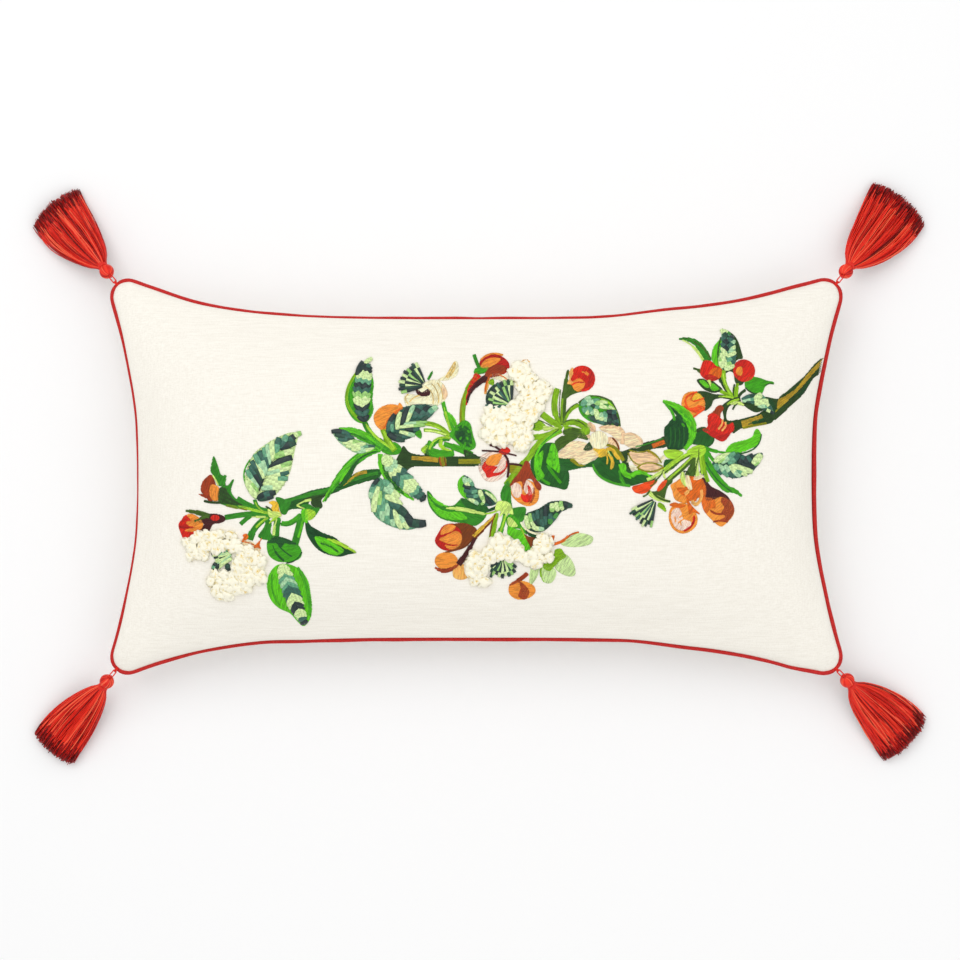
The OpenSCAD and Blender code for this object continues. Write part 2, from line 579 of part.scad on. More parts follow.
corner_signs = [[-1, 1], [1, 1], [-1, -1], [1, -1]];
module at_corner(k) {
    p = plan(corner_signs[k][0], corner_signs[k][1], piping_r);
    translate([p.x, p.y, corner_z]) rotate([0, 0, tassel_dir[k]]) children();
}
module hanging(k) at_corner(k) translate([hinge_x, 0, 0]) rotate([0, head_droop, 0]) children();

module ring(major, minor) rotate_extrude($fn = 48) translate([major, 0]) circle(r = minor, $fn = 24);

module corner_eye(k) color(dark_red) at_corner(k) {
    translate([eye_stand_off, 0, -eye_half_h]) cylinder(r = thread_r, h = 2 * eye_half_h, $fn = 24);
    for (side = [-1, 1]) translate([0, 0, side * eye_half_h]) {
        translate([eye_post_x, 0, 0]) rotate([0, 90, 0])
            cylinder(r = thread_r, h = eye_stand_off - eye_post_x, $fn = 24);
        translate([eye_stand_off, 0, 0]) sphere(r = thread_r, $fn = 24);
        translate([eye_post_x, 0, 0]) sphere(r = thread_r, $fn = 24);
    }
    translate([eye_post_x, 0, -eye_half_h]) cylinder(r = thread_r, h = 2 * eye_half_h, $fn = 24);
}

module tassel_loop(k) color(dark_red) at_corner(k) translate([eye_stand_off, 0, 0]) {
    rotate([0, 0, 90]) rotate_extrude(angle = 180, $fn = 48) translate([loop_r, 0]) circle(r = thread_r, $fn = 24);
    translate([loop_len, 0, 0]) rotate([0, 0, -90])
        rotate_extrude(angle = 180, $fn = 48) translate([loop_r, 0]) circle(r = thread_r, $fn = 24);
    for (side = [-1, 1]) translate([0, side * loop_r, 0]) rotate([0, 90, 0])
        cylinder(r = thread_r, h = loop_len, $fn = 24);
}

module tassel_head(k) color(red) hanging(k) {
    rotate([90, 0, 0]) ring(eye_r, thread_r);
    translate([ball_x, 0, 0]) sphere(r = head_r, $fn = 48);
    translate([ball_x, 0, 0]) rotate([0, 90, 0])
        cylinder(r = core_r, h = neck_end - ball_x, $fn = 48);
}

module tassel_binding(k) color(dark_red) hanging(k)
    translate([neck_start, 0, 0]) rotate([0, 90, 0])
        rotate_extrude($fn = 48) translate([core_r + 0.05, 0]) {
            square([0.9, 4.6]);
            for (wrap = [0:2]) translate([0.9, 0.8 + 1.5 * wrap]) circle(r = 0.75, $fn = 24);
        }

// The cut threads fan out and come to rest flat on the surface below.
skirt_sides = 16;
skirt_steps = 6;
module tassel_skirt(k) color(red) at_corner(k) translate([hinge_x, 0, -corner_z]) {
    start = [neck_end * cos(head_droop), corner_z - neck_end * sin(head_droop)];
    finish = [tassel_reach[k], tassel_end_t / 2];
    bend = [start.x + 34, start.y - 34 * tan(head_droop)];
    spine = [start, bend, finish];
    rings = [for (s = [0:skirt_steps])
        let(t = s / skirt_steps,
            c = curve(spine, t),
            d = (bend - start) * (1 - t) + (finish - bend) * t,
            up = [-d.y, d.x] / norm(d),
            half_width = mix(4.6, tassel_fan[k] / 2, pow(t, 0.85)),
            half_thick = mix(4.4, tassel_end_t / 2, pow(t, 0.5)))
        each [for (n = [0:skirt_sides - 1])
            let(a = 360 * n / skirt_sides,
                thick = half_thick * sin(a),
                tip = t < 1 ? 0 : -2.2 - 2.2 * sin(a * 5 + 70 * k))
            [c.x + up.x * thick + tip, half_width * cos(a), c.y + up.y * thick]]];
    polyhedron(
        points = rings,
        faces = concat(side_faces(skirt_steps + 1, skirt_sides, 0, false), end_fan(0, skirt_sides, true),
            end_fan(skirt_steps * skirt_sides, skirt_sides, false)),
        convexity = 4);
}

module corner_eye_top_left() corner_eye(0);
module corner_eye_top_right() corner_eye(1);
module corner_eye_bottom_left() corner_eye(2);
module corner_eye_bottom_right() corner_eye(3);
module tassel_loop_top_left() tassel_loop(0);
module tassel_loop_top_right() tassel_loop(1);
module tassel_loop_bottom_left() tassel_loop(2);
module tassel_loop_bottom_right() tassel_loop(3);
module tassel_head_top_left() tassel_head(0);
module tassel_head_top_right() tassel_head(1);
module tassel_head_bottom_left() tassel_head(2);
module tassel_head_bottom_right() tassel_head(3);
module tassel_binding_top_left() tassel_binding(0);
module tassel_binding_top_right() tassel_binding(1);
module tassel_binding_bottom_left() tassel_binding(2);
module tassel_binding_bottom_right() tassel_binding(3);
module tassel_skirt_top_left() tassel_skirt(0);
module tassel_skirt_top_right() tassel_skirt(1);
module tassel_skirt_bottom_left() tassel_skirt(2);
module tassel_skirt_bottom_right() tassel_skirt(3);

front_panel();
back_panel();
piping_sleeve();
piping_cord();
embroidery_backing();
insert_front_ticking();
insert_back_ticking();
insert_filling();
zip_tape_upper();
zip_tape_lower();
zip_coil_upper();
zip_coil_lower();
zip_slider();
zip_pull();
zip_top_stop();
zip_bottom_stop();
zip_topstitching();
branch_stitching();
stem_stitching();
leaf_stitching();
ribbon_leaves();
ribbon_tufts();
ribbon_blossoms();
red_bud_stitching();
orange_bud_stitching();
calyx_stitching();
petal_stitching();
corner_eye_top_left();
corner_eye_top_right();
corner_eye_bottom_left();
corner_eye_bottom_right();
tassel_loop_top_left();
tassel_loop_top_right();
tassel_loop_bottom_left();
tassel_loop_bottom_right();
tassel_head_top_left();
tassel_head_top_right();
tassel_head_bottom_left();
tassel_head_bottom_right();
tassel_binding_top_left();
tassel_binding_top_right();
tassel_binding_bottom_left();
tassel_binding_bottom_right();
tassel_skirt_top_left();
tassel_skirt_top_right();
tassel_skirt_bottom_left();
tassel_skirt_bottom_right();
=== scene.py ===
"""Embroidered throw pillow: the looks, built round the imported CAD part.

The tables below are in millimetres: x runs across the embroidered face, y up it and z out of it.
"""
import math

import bmesh
import bpy
import numpy as np
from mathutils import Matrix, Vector
from mathutils import noise as mnoise
from mathutils.bvhtree import BVHTree


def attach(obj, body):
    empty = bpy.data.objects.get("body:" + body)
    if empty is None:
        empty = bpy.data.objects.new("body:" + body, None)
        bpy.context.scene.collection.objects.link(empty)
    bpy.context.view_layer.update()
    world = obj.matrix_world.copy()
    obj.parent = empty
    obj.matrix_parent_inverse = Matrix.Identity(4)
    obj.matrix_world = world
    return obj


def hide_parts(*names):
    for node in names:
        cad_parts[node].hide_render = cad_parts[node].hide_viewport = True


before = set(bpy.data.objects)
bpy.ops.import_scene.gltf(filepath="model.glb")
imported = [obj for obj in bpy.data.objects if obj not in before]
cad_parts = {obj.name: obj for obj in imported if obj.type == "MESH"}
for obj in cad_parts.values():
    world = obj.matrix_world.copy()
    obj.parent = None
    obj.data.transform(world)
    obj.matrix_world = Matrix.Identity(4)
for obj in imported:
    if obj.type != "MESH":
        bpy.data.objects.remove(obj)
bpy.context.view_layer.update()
MM = 0.001

# ---------------------------------------- shape of the cushion

CUSHION_W, CUSHION_H = 660.0, 357.0
LONG_PULL, SHORT_PULL, CORNER_TRIM = 34.0, 22.8, 5.5
SEAM_Z, CORNER_DROP = 52.0, 12.0
FRONT_CROWN, BACK_CROWN = 64.0, 62.0
PIPING_R, FILLER_R = 2.5, 1.45
PANEL_INSET = 5.3
SKIN_INSET = PANEL_INSET - 1.2
CLOTH_T = 0.8
ZIP_LEN, ZIP_Y, ZIP_Z = 440.0, -128.0, 32.3
ZIP_SLOPE = math.radians(46.8)
SLOT_U, SLOT_HALF, BAND_HALF = 0.677, 4.5, 13.0
BAND_X = (224.0, 262.0)


def half_w(v, inset):
    """Half the width at v, from -1 at the bottom to 1 at the top; the filling pulls the sides in."""
    return (CUSHION_W - 2 * inset) / 2 - SHORT_PULL * (1 - np.minimum(1, 1.095 * np.abs(v)) ** 2.6)


def half_h(u, inset):
    """Half the height at u, from -1 on the left to 1 on the right."""
    return (CUSHION_H - 2 * inset) / 2 - LONG_PULL * (1 - np.minimum(1, 1.05 * np.abs(u)) ** 4)


def smooth(t):
    """A soft step from 0 to 1."""
    c = np.clip(t, 0, 1)
    return c * c * (3 - 2 * c)


def sag(u, v):
    """How far the hand-sewn outline strays outside an even one, in x and y."""
    a, b = np.abs(u), np.abs(v)
    dx = 3.2 * smooth((b - 0.25) / 0.4)
    near_right = smooth((u - 0.85) / 0.12)
    top_right = 5.2 * smooth((u - 0.3) / 0.25) - 2.7 * near_right
    top = np.where(u < 0, 2.2 * smooth((a - 0.75) / 0.15), top_right)
    low = 4.5 - 2.2 * smooth((-u - 0.45) / 0.15) + 3.0 * smooth((u - 0.4) / 0.2) - 5.0 * near_right
    return np.sign(u) * dx * a ** 8, np.where(v > 0, top, -low) * b ** 8


def plan(u, v, inset):
    """The x and y of a place on the cushion, on an outline that lies inset inside the piping's outer edge."""
    cut = CORNER_TRIM * np.abs(u) ** 60 * np.abs(v) ** 32
    dx, dy = sag(u, v)
    return u * half_w(v, inset) - np.sign(u) * cut + dx, v * half_h(u, inset) - np.sign(v) * cut + dy


def seam_z(u, v):
    """The height of the seam, which sinks at the corners."""
    return SEAM_Z - CORNER_DROP * np.abs(u * v) ** 3


def puff(u, v):
    """How far the filling domes a face: 1 in the middle and 0 at the seam."""
    return np.maximum(0, 1 - v * v) ** 0.6 * np.sqrt(np.maximum(0, 1 - u ** 4))


def band_v(d):
    """The v of a back panel row at the distance d up the zip's slope from its middle line."""
    return (ZIP_Y - d * math.cos(ZIP_SLOPE)) / float(half_h(0, PANEL_INSET))


def back_surface(u, v, inset):
    """The back with its flat resting patch and the flat band that the zip lies in."""
    x, y = plan(u, v, inset)
    z = np.maximum(0, seam_z(u, v) - BACK_CROWN * puff(u, v))
    share = ((v < -0.85) & (v > -0.995)) * (1 - smooth((np.abs(x) - BAND_X[0]) / (BAND_X[1] - BAND_X[0])))
    y_flat = v * float(half_h(0, PANEL_INSET))
    z_flat = ZIP_Z + math.tan(ZIP_SLOPE) * (ZIP_Y - y_flat)
    return x, y * (1 - share) + y_flat * share, z * (1 - share) + z_flat * share


# ---------------------------------------- materials


def linear(rgb):
    """A colour from 0 to 255 as a linear one with full alpha."""
    c = np.array(rgb, float) / 255
    return tuple(np.where(c <= 0.04045, c / 12.92, ((c + 0.055) / 1.055) ** 2.4)) + (1.0,)


def material(name, rgb, rough=0.7, sheen=0.0, specular=0.3):
    """A plain material, to which the functions below add a tint and a bump."""
    made = bpy.data.materials.new(name)
    made.use_nodes = True
    shader = made.node_tree.nodes["Principled BSDF"]
    shader.inputs["Base Color"].default_value = linear(rgb)
    shader.inputs["Roughness"].default_value = rough
    shader.inputs["Sheen Weight"].default_value = sheen
    shader.inputs["Specular IOR Level"].default_value = specular
    return made


def noise(made, scale, detail=2.0):
    """A noise texture in the frame's own coordinates, at scale repeats per metre along x, y and z."""
    nodes, links = made.node_tree.nodes, made.node_tree.links
    place = nodes.new("ShaderNodeTexCoord")
    stretch = nodes.new("ShaderNodeMapping")
    stretch.inputs["Scale"].default_value = scale
    texture = nodes.new("ShaderNodeTexNoise")
    texture.inputs["Scale"].default_value = 1.0
    texture.inputs["Detail"].default_value = detail
    links.new(place.outputs["Object"], stretch.inputs["Vector"])
    links.new(stretch.outputs["Vector"], texture.inputs["Vector"])
    return texture.outputs["Fac"]


def wave(made, scale, turn):
    """Fine straight ribs, scale repeats per metre, turned about z."""
    nodes, links = made.node_tree.nodes, made.node_tree.links
    place = nodes.new("ShaderNodeTexCoord")
    stretch = nodes.new("ShaderNodeMapping")
    stretch.inputs["Rotation"].default_value = turn
    texture = nodes.new("ShaderNodeTexWave")
    texture.inputs["Scale"].default_value = scale
    texture.inputs["Distortion"].default_value = 1.5
    texture.inputs["Detail Scale"].default_value = 2.0
    links.new(place.outputs["Object"], stretch.inputs["Vector"])
    links.new(stretch.outputs["Vector"], texture.inputs["Vector"])
    return texture.outputs["Fac"]


def total(made, parts):
    """The weighted sum of several heights."""
    nodes, links = made.node_tree.nodes, made.node_tree.links
    so_far = None
    for socket, weight in parts:
        step = nodes.new("ShaderNodeMath")
        step.operation = "MULTIPLY_ADD"
        links.new(socket, step.inputs[0])
        step.inputs[1].default_value = weight
        if so_far:
            links.new(so_far, step.inputs[2])
        else:
            step.inputs[2].default_value = 0.0
        so_far = step.outputs[0]
    return so_far


def bump(made, height, distance):
    """Fine relief, distance metres deep."""
    nodes, links = made.node_tree.nodes, made.node_tree.links
    node = nodes.new("ShaderNodeBump")
    node.inputs["Distance"].default_value = distance
    node.inputs["Strength"].default_value = 1.0
    links.new(height, node.inputs["Height"])
    links.new(node.outputs["Normal"], nodes["Principled BSDF"].inputs["Normal"])


def tint(made, factor, low, high, low_at=0.3, high_at=0.7):
    """The colour goes from low to high with factor."""
    nodes, links = made.node_tree.nodes, made.node_tree.links
    ramp = nodes.new("ShaderNodeValToRGB")
    ramp.color_ramp.elements[0].position = low_at
    ramp.color_ramp.elements[1].position = high_at
    ramp.color_ramp.elements[0].color = linear(low)
    ramp.color_ramp.elements[1].color = linear(high)
    links.new(factor, ramp.inputs["Fac"])
    links.new(ramp.outputs["Color"], nodes["Principled BSDF"].inputs["Base Color"])


def woven(name, low, high, slub=(45, 1100, 1100), across=(1100, 90, 1100), depth=0.00022):
    """Linen-like cloth: irregular threads along x, finer ones across them."""
    made = material(name, high, rough=0.88, sheen=0.08, specular=0.18)
    weft = noise(made, slub, 3.0)
    warp = noise(made, across, 2.0)
    height = total(made, [(weft, 0.7), (warp, 0.45)])
    tint(made, height, low, high, 0.42, 0.72)
    bump(made, height, depth)
    return made


def thread(name, rgb, rough, specular):
    """Silky thread in one colour."""
    made = material(name, rgb, rough=rough, specular=specular)
    bump(made, noise(made, (2600, 2600, 2600), 1.0), 0.00006)
    return made


IVORY = woven("ivory_linen", (242, 237, 226), (252, 248, 238))
LINING = woven("white_backing", (214, 214, 210), (236, 236, 233))
TICKING = woven("white_ticking", (205, 206, 204), (232, 232, 229))
TAPE = woven("zip_tape_weave", (214, 208, 194), (236, 230, 216), (2200, 700, 2200), (700, 2200, 2200), 0.0001)
FILLING = material("polyester_filling", (240, 240, 240), rough=0.95, sheen=0.3)
tint(FILLING, noise(FILLING, (60, 60, 60), 6.0), (222, 222, 222), (248, 248, 248))
bump(FILLING, noise(FILLING, (240, 240, 240), 6.0), 0.002)
CORD_COTTON = material("cotton_cord", (225, 224, 218), rough=0.9)
tint(CORD_COTTON, wave(CORD_COTTON, 260, (0, 0, 0.7)), (205, 203, 196), (236, 235, 230))
bump(CORD_COTTON, wave(CORD_COTTON, 260, (0, 0, 0.7)), 0.0003)
PIPING_CLOTH = material("piping_cotton", (196, 34, 32), rough=0.62, specular=0.25)
tint(PIPING_CLOTH, noise(PIPING_CLOTH, (900, 900, 900), 2.0), (172, 22, 24), (212, 44, 38))
bump(PIPING_CLOTH, total(PIPING_CLOTH, [(wave(PIPING_CLOTH, 420, (0, 0, 0.8)), 0.6),
                                        (noise(PIPING_CLOTH, (1500, 1500, 1500), 1.0), 0.5)]), 0.00012)
ZIP_METAL = material("zip_enamel", (228, 222, 206), rough=0.35, specular=0.5)
ZIP_METAL.node_tree.nodes["Principled BSDF"].inputs["Metallic"].default_value = 0.35
bump(ZIP_METAL, noise(ZIP_METAL, (900, 900, 900), 3.0), 0.00004)
ZIP_NYLON = material("zip_nylon", (232, 227, 212), rough=0.4, specular=0.45)
bump(ZIP_NYLON, noise(ZIP_NYLON, (1800, 1800, 1800), 2.0), 0.00004)
SEWING_THREAD = thread("ivory_sewing_thread", (238, 233, 218), 0.6, 0.3)
# Tassel reds: 0 to 2 are tones of the thread itself, 3 (the brightest) is a painted highlight and 4 (the
# darkest) is painted shade.
REDS = [thread("tassel_red_" + str(k), rgb, 0.34, 0.3) for k, rgb in enumerate(
    [(184, 14, 8), (228, 36, 20), (246, 58, 34), (255, 104, 70), (110, 3, 2)])]

# ---------------------------------------- mesh helpers


def mesh_object(name, verts, faces, mats, face_mats=None):
    """A mesh object from points in millimetres."""
    mesh = bpy.data.meshes.new(name)
    points = (np.asarray(verts, float) * MM).tolist()
    mesh.from_pydata(points, [], faces if isinstance(faces, list) else faces.tolist())
    for m in mats:
        mesh.materials.append(m)
    if face_mats is not None:
        mesh.polygons.foreach_set("material_index", np.asarray(face_mats, np.int32))
    mesh.polygons.foreach_set("use_smooth", np.full(len(mesh.polygons), True))
    mesh.update()
    made = bpy.data.objects.new(name, mesh)
    bpy.context.scene.collection.objects.link(made)
    return made


def place(obj, body, nodes, slot):
    """obj rides on body and stands for the CAD nodes, which it hides; slot is not used."""
    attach(obj, body)
    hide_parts(*nodes)
    return obj


def unit(v):
    """Vectors at length 1."""
    return v / np.maximum(np.linalg.norm(v, axis=-1, keepdims=True), 1e-9)


def tubes(paths, radius, sides=5, closed=False):
    """Round threads along paths, an array of n paths of s points each.

    Returns the points, the faces and the number of each face's path.
    """
    paths = np.asarray(paths, float)
    n, s = paths.shape[:2]
    if closed:
        along = unit(np.roll(paths, -1, 1) - np.roll(paths, 1, 1))
    else:
        along = unit(np.gradient(paths, axis=1))
    mean = unit(along.mean(1))
    ref = np.where(np.abs(mean[:, 2:3]) < 0.8, np.array([[0, 0, 1.0]]), np.array([[1.0, 0, 0]]))
    side = unit(np.cross(along, ref[:, None, :]))
    up = np.cross(side, along)
    radius = np.broadcast_to(np.asarray(radius, float), (n, s))
    turn = 2 * np.pi * np.arange(sides) / sides
    ring = (np.cos(turn)[None, None, :, None] * side[:, :, None, :]
            + np.sin(turn)[None, None, :, None] * up[:, :, None, :])
    verts = paths[:, :, None, :] + ring * radius[:, :, None, None]
    index = np.arange(n * s * sides).reshape(n, s, sides)
    last = s if closed else s - 1
    a = index[:, :last]
    b = np.roll(index, -1, 1)[:, :last]
    quads = np.stack([a, np.roll(a, -1, 2), np.roll(b, -1, 2), b], -1)
    faces = quads.reshape(-1, 4).tolist()
    owner = np.repeat(np.arange(n), last * sides).tolist()
    if not closed:
        for k in range(n):
            faces.append(index[k, 0, ::-1].tolist())
            faces.append(index[k, -1].tolist())
            owner += [k, k]
    return verts.reshape(-1, 3), faces, np.array(owner)


def joined(parts):
    """Several (points, faces, owners) as one, with the owners numbered by part."""
    verts, faces, owner, start = [], [], [], 0
    for number, (v, f, _) in enumerate(parts):
        verts.append(v)
        faces += [[i + start for i in face] for face in f]
        owner += [number] * len(f)
        start += len(v)
    return np.concatenate(verts), faces, np.array(owner)


def noise_curve(count, step, seed):
    """Smooth closed noise from -1 to 1 at count stations, changing about every step stations."""
    own = np.random.default_rng(seed)
    k = max(4, int(count / step))
    coarse = own.uniform(-1, 1, k)
    t = np.arange(count) * k / count
    i = t.astype(int)
    f = smooth(t - i)
    return coarse[i % k] * (1 - f) + coarse[(i + 1) % k] * f


# ---------------------------------------- cover, with its simulation

EXTRA_V = [band_v(d) for d in (BAND_HALF, SLOT_HALF, -SLOT_HALF, -BAND_HALF)]


def stations(half_count, extra):
    """Places from -1 to 1, closer together near the ends, that pass through the extra ones."""
    t = np.arange(-half_count, half_count + 1) / half_count
    base = 0.55 * t + 0.45 * np.sin(np.pi / 2 * t)
    for e in extra:
        base[np.argmin(np.abs(base - e))] = e
    return base


US = stations(70, [-SLOT_U, SLOT_U])
VS = stations(38, EXTRA_V)


def cover_mesh():
    """The whole cover as one closed skin: the front grid, then the back's inner points."""
    gu, gv = np.meshgrid(US, VS)
    rows, cols = gu.shape
    x, y = plan(gu, gv, SKIN_INSET)
    front = np.stack([x, y, seam_z(gu, gv) + FRONT_CROWN * puff(gu, gv)], -1)
    back = np.stack(back_surface(gu, gv, SKIN_INSET), -1)
    index = np.arange(rows * cols).reshape(rows, cols)
    rim = np.zeros((rows, cols), bool)
    rim[[0, -1], :] = True
    rim[:, [0, -1]] = True
    back_index = index.copy()
    back_index[~rim] = rows * cols + np.arange((~rim).sum())
    verts = np.concatenate([front.reshape(-1, 3), back[~rim]])
    quad = lambda g: np.stack([g[:-1, :-1], g[:-1, 1:], g[1:, 1:], g[1:, :-1]], -1).reshape(-1, 4)
    faces = np.concatenate([quad(index), quad(back_index)[:, ::-1]])
    return verts, faces, index, back_index, rim


def simulated(verts, faces, pinned, loose, frames=20, cap=6.0):
    """Cloth with pressure, held at the pinned points; loose is how much spare cloth each point has."""
    obj = mesh_object("cover_simulation", verts, faces, [])
    hold = obj.vertex_groups.new(name="hold")
    ease = obj.vertex_groups.new(name="ease")
    for i in np.nonzero(pinned)[0]:
        hold.add([int(i)], 1.0, "REPLACE")
    for i in np.nonzero(loose > 0.01)[0]:
        ease.add([int(i)], float(loose[i]), "REPLACE")
    cloth = obj.modifiers.new("Cloth", "CLOTH")
    s = cloth.settings
    s.quality = 5
    s.mass = 0.2
    s.tension_stiffness = s.compression_stiffness = 18
    s.shear_stiffness = 8
    s.bending_stiffness = 0.15
    s.vertex_group_mass = "hold"
    s.vertex_group_shrink = "ease"
    s.shrink_min = 0.0
    s.shrink_max = -0.06
    s.use_pressure = True
    s.uniform_pressure_force = 4.0
    s.effector_weights.gravity = 0.0
    cloth.collision_settings.use_collision = False
    scene = bpy.context.scene
    scene.frame_start, scene.frame_end = 1, frames
    for f in range(1, frames + 1):
        scene.frame_set(f)
    evaluated = obj.evaluated_get(bpy.context.evaluated_depsgraph_get())
    out = np.zeros(len(verts) * 3)
    evaluated.data.vertices.foreach_get("co", out)
    scene.frame_set(1)
    bpy.data.objects.remove(obj)
    move = out.reshape(-1, 3) / MM - verts
    far = np.linalg.norm(move, axis=1, keepdims=True)
    return verts + move * np.minimum(1, cap / np.maximum(far, 1e-6))


cover, cover_faces, front_index, back_index, rim = cover_mesh()
gu, gv = np.meshgrid(US, VS)
edge_near = np.exp(-np.minimum((1 - np.abs(gu)) * 320, (1 - np.abs(gv)) * 150) / 26.0)
loose = np.zeros(len(cover))
loose[front_index] = edge_near
loose[back_index[~rim]] = edge_near[~rim]
pinned = np.zeros(len(cover), bool)
pinned[front_index[rim]] = True
in_zip_band = (gv < -0.8) & (gv > -0.97) & (np.abs(gu) < 0.8)
pinned[back_index[in_zip_band]] = True
pinned[cover[:, 2] < 0.5] = True
cover = simulated(cover, cover_faces, pinned, loose)
cover[:, 2] = np.maximum(cover[:, 2], 0.4)

# The filled front hangs out over the piping, most at the top and least at the middle of the right side.
HANG_TOP, HANG_BOTTOM, HANG_LEFT, HANG_RIGHT, HANG_RIGHT_CORNERS = 5.9, 5.0, 5.2, 0.4, 4.8
over = HANG_TOP * np.maximum(gv, 0) ** 6 + HANG_BOTTOM * np.maximum(-gv, 0) ** 6
over = np.maximum(over, HANG_LEFT * np.maximum(-gu, 0) ** 12)
over_right = HANG_RIGHT + HANG_RIGHT_CORNERS * np.abs(gv) ** 1.5
over = np.maximum(over, over_right * np.maximum(gu, 0) ** 12)
over = over * np.exp(-((puff(gu, gv) - 0.17) / 0.13) ** 2)
reach = np.stack(plan(gu, gv, PANEL_INSET - over), -1) - np.stack(plan(gu, gv, PANEL_INSET), -1)
cover[front_index.ravel(), :2] += reach.reshape(-1, 2)


def panel(name, index, flip, open_cells=None):
    """One side of the cover as cloth of its own thickness, without the open cells."""
    rows, cols = index.shape
    used, inverse = np.unique(index, return_inverse=True)
    grid = inverse.reshape(rows, cols)
    cells = np.stack([grid[:-1, :-1], grid[:-1, 1:], grid[1:, 1:], grid[1:, :-1]], -1)
    keep = np.ones(cells.shape[:2], bool) if open_cells is None else ~open_cells
    faces = cells[keep]
    if flip:
        faces = faces[:, ::-1]
    obj = mesh_object(name, cover[used], faces, [IVORY])
    sub = obj.modifiers.new("finer", "SUBSURF")
    sub.levels = sub.render_levels = 1
    thick = obj.modifiers.new("cloth", "SOLIDIFY")
    thick.thickness = CLOTH_T * MM
    thick.offset = -1.0
    return obj


row_of = {d: int(np.argmin(np.abs(VS - band_v(d)))) for d in (SLOT_HALF, -SLOT_HALF)}
zip_slot = np.zeros((len(VS) - 1, len(US) - 1), bool)
zip_slot[row_of[SLOT_HALF]:row_of[-SLOT_HALF], :] = (np.abs((US[:-1] + US[1:]) / 2) < SLOT_U)[None, :]
front_panel = panel("front_cover", front_index, False)
back_panel = panel("back_cover", back_index, True, zip_slot)
place(front_panel, "cushion", ["front_panel"], "ivory_cloth")
place(back_panel, "cushion", ["back_panel"], "ivory_cloth")

# Heights of the finished front, for laying the embroidery on it.
bpy.context.view_layer.update()
depsgraph = bpy.context.evaluated_depsgraph_get()
front_tree = BVHTree.FromObject(front_panel, depsgraph)
GRID = 1.5
grid_x = np.arange(-330, 331, GRID)
grid_y = np.arange(-180, 181, GRID)
height_map = np.zeros((len(grid_y), len(grid_x)))
for j, gy in enumerate(grid_y):
    for i, gx in enumerate(grid_x):
        hit = front_tree.ray_cast(Vector((gx * MM, gy * MM, 0.3)), Vector((0, 0, -1)))[0]
        height_map[j, i] = hit.z / MM if hit else SEAM_Z - CORNER_DROP


def front_height(x, y):
    """The height of the finished front over a place."""
    fx = np.clip((x - grid_x[0]) / GRID, 0, len(grid_x) - 1.001)
    fy = np.clip((y - grid_y[0]) / GRID, 0, len(grid_y) - 1.001)
    i, j = fx.astype(int), fy.astype(int)
    a, b = fx - i, fy - j
    h = height_map
    return (h[j, i] * (1 - a) * (1 - b) + h[j, i + 1] * a * (1 - b)
            + h[j + 1, i] * (1 - a) * b + h[j + 1, i + 1] * a * b)


def front_normal(x, y):
    """The direction straight out of the finished front."""
    d = 2.0
    dx = (front_height(x + d, y) - front_height(x - d, y)) / (2 * d)
    dy = (front_height(x, y + d) - front_height(x, y - d)) / (2 * d)
    return unit(np.stack([-dx, -dy, np.ones_like(dx)], -1))


# ---------------------------------------- piping


def seam_loop(per_long=230, per_short=120):
    """u and v once round the outline, anticlockwise from the middle of the bottom edge."""
    long_side = np.linspace(-1, 1, per_long, endpoint=False)
    short_side = np.linspace(-1, 1, per_short, endpoint=False)
    u = np.concatenate([long_side, np.ones(per_short), -long_side, -np.ones(per_short)])
    v = np.concatenate([-np.ones(per_long), short_side, np.ones(per_long), -short_side])
    return u, v


def seam_path():
    """The middle line of the piping, a little wavy as sewn, and how far each point is on the right side."""
    u, v = seam_loop()
    x, y = plan(u, v, PIPING_R - 0.3)
    path = np.stack([x, y, seam_z(u, v) - 0.3], -1)
    for _ in range(3):
        path = (np.roll(path, 1, 0) + 2 * path + np.roll(path, -1, 0)) / 4
    n = len(path)
    path[:, 2] += 0.45 * noise_curve(n, 7, 3)
    out = unit(np.cross(np.roll(path, -1, 0) - np.roll(path, 1, 0), [[0, 0, 1.0]]))
    return path + out * 0.3 * noise_curve(n, 9, 4)[:, None], np.maximum(u, 0) ** 12


seam, on_right = seam_path()
sleeve_r = (PIPING_R - 0.45 + 0.15 * on_right) * (1 + 0.05 * noise_curve(len(seam), 5, 5))
sleeve = tubes(seam[None], sleeve_r[None], 14, closed=True)
filler = tubes(seam[None], FILLER_R, 10, closed=True)
place(mesh_object("piping", sleeve[0], sleeve[1], [PIPING_CLOTH]), "cushion", ["piping_sleeve"],
      "piping_cloth")
place(mesh_object("piping_filler", filler[0], filler[1], [CORD_COTTON]), "cushion", ["piping_cord"],
      "white_cord")

# ---------------------------------------- tassels

CORNERS = ["top_left", "top_right", "bottom_left", "bottom_right"]
CORNER_XY = [(-325.0, 173.0), (325.0, 173.0), (-325.0, -173.0), (325.0, -173.0)]
CORNER_Z = SEAM_Z - CORNER_DROP
TASSEL_DIR = [129.7, 51.0, 230.7, 314.6]
TASSEL_REACH = [89.0, 94.0, 91.0, 90.0]
TASSEL_FAN = [54.0, 60.0, 46.0, 55.0]
TASSEL_LEAN = [1.0, -1.0, -0.6, 0.8]
TASSEL_END_T = 11.0
HEAD_R, EYE_R, THREAD_R, CORE_R = 6.5, 1.8, 0.6, 3.1
HEAD_DROOP = math.radians(43)
EYE_STAND_OFF, LOOP_LEN, LOOP_R = 5.3, 5.0, 1.5
HINGE_X = EYE_STAND_OFF + LOOP_LEN + LOOP_R
BALL_X = EYE_R + HEAD_R - 0.7
NECK_START = BALL_X + HEAD_R - 1
NECK_END = NECK_START + 5.5
SKIRT_THREADS = 1000
SKIRT_THREAD_R, SKIRT_TIP_R = 0.46, 0.34


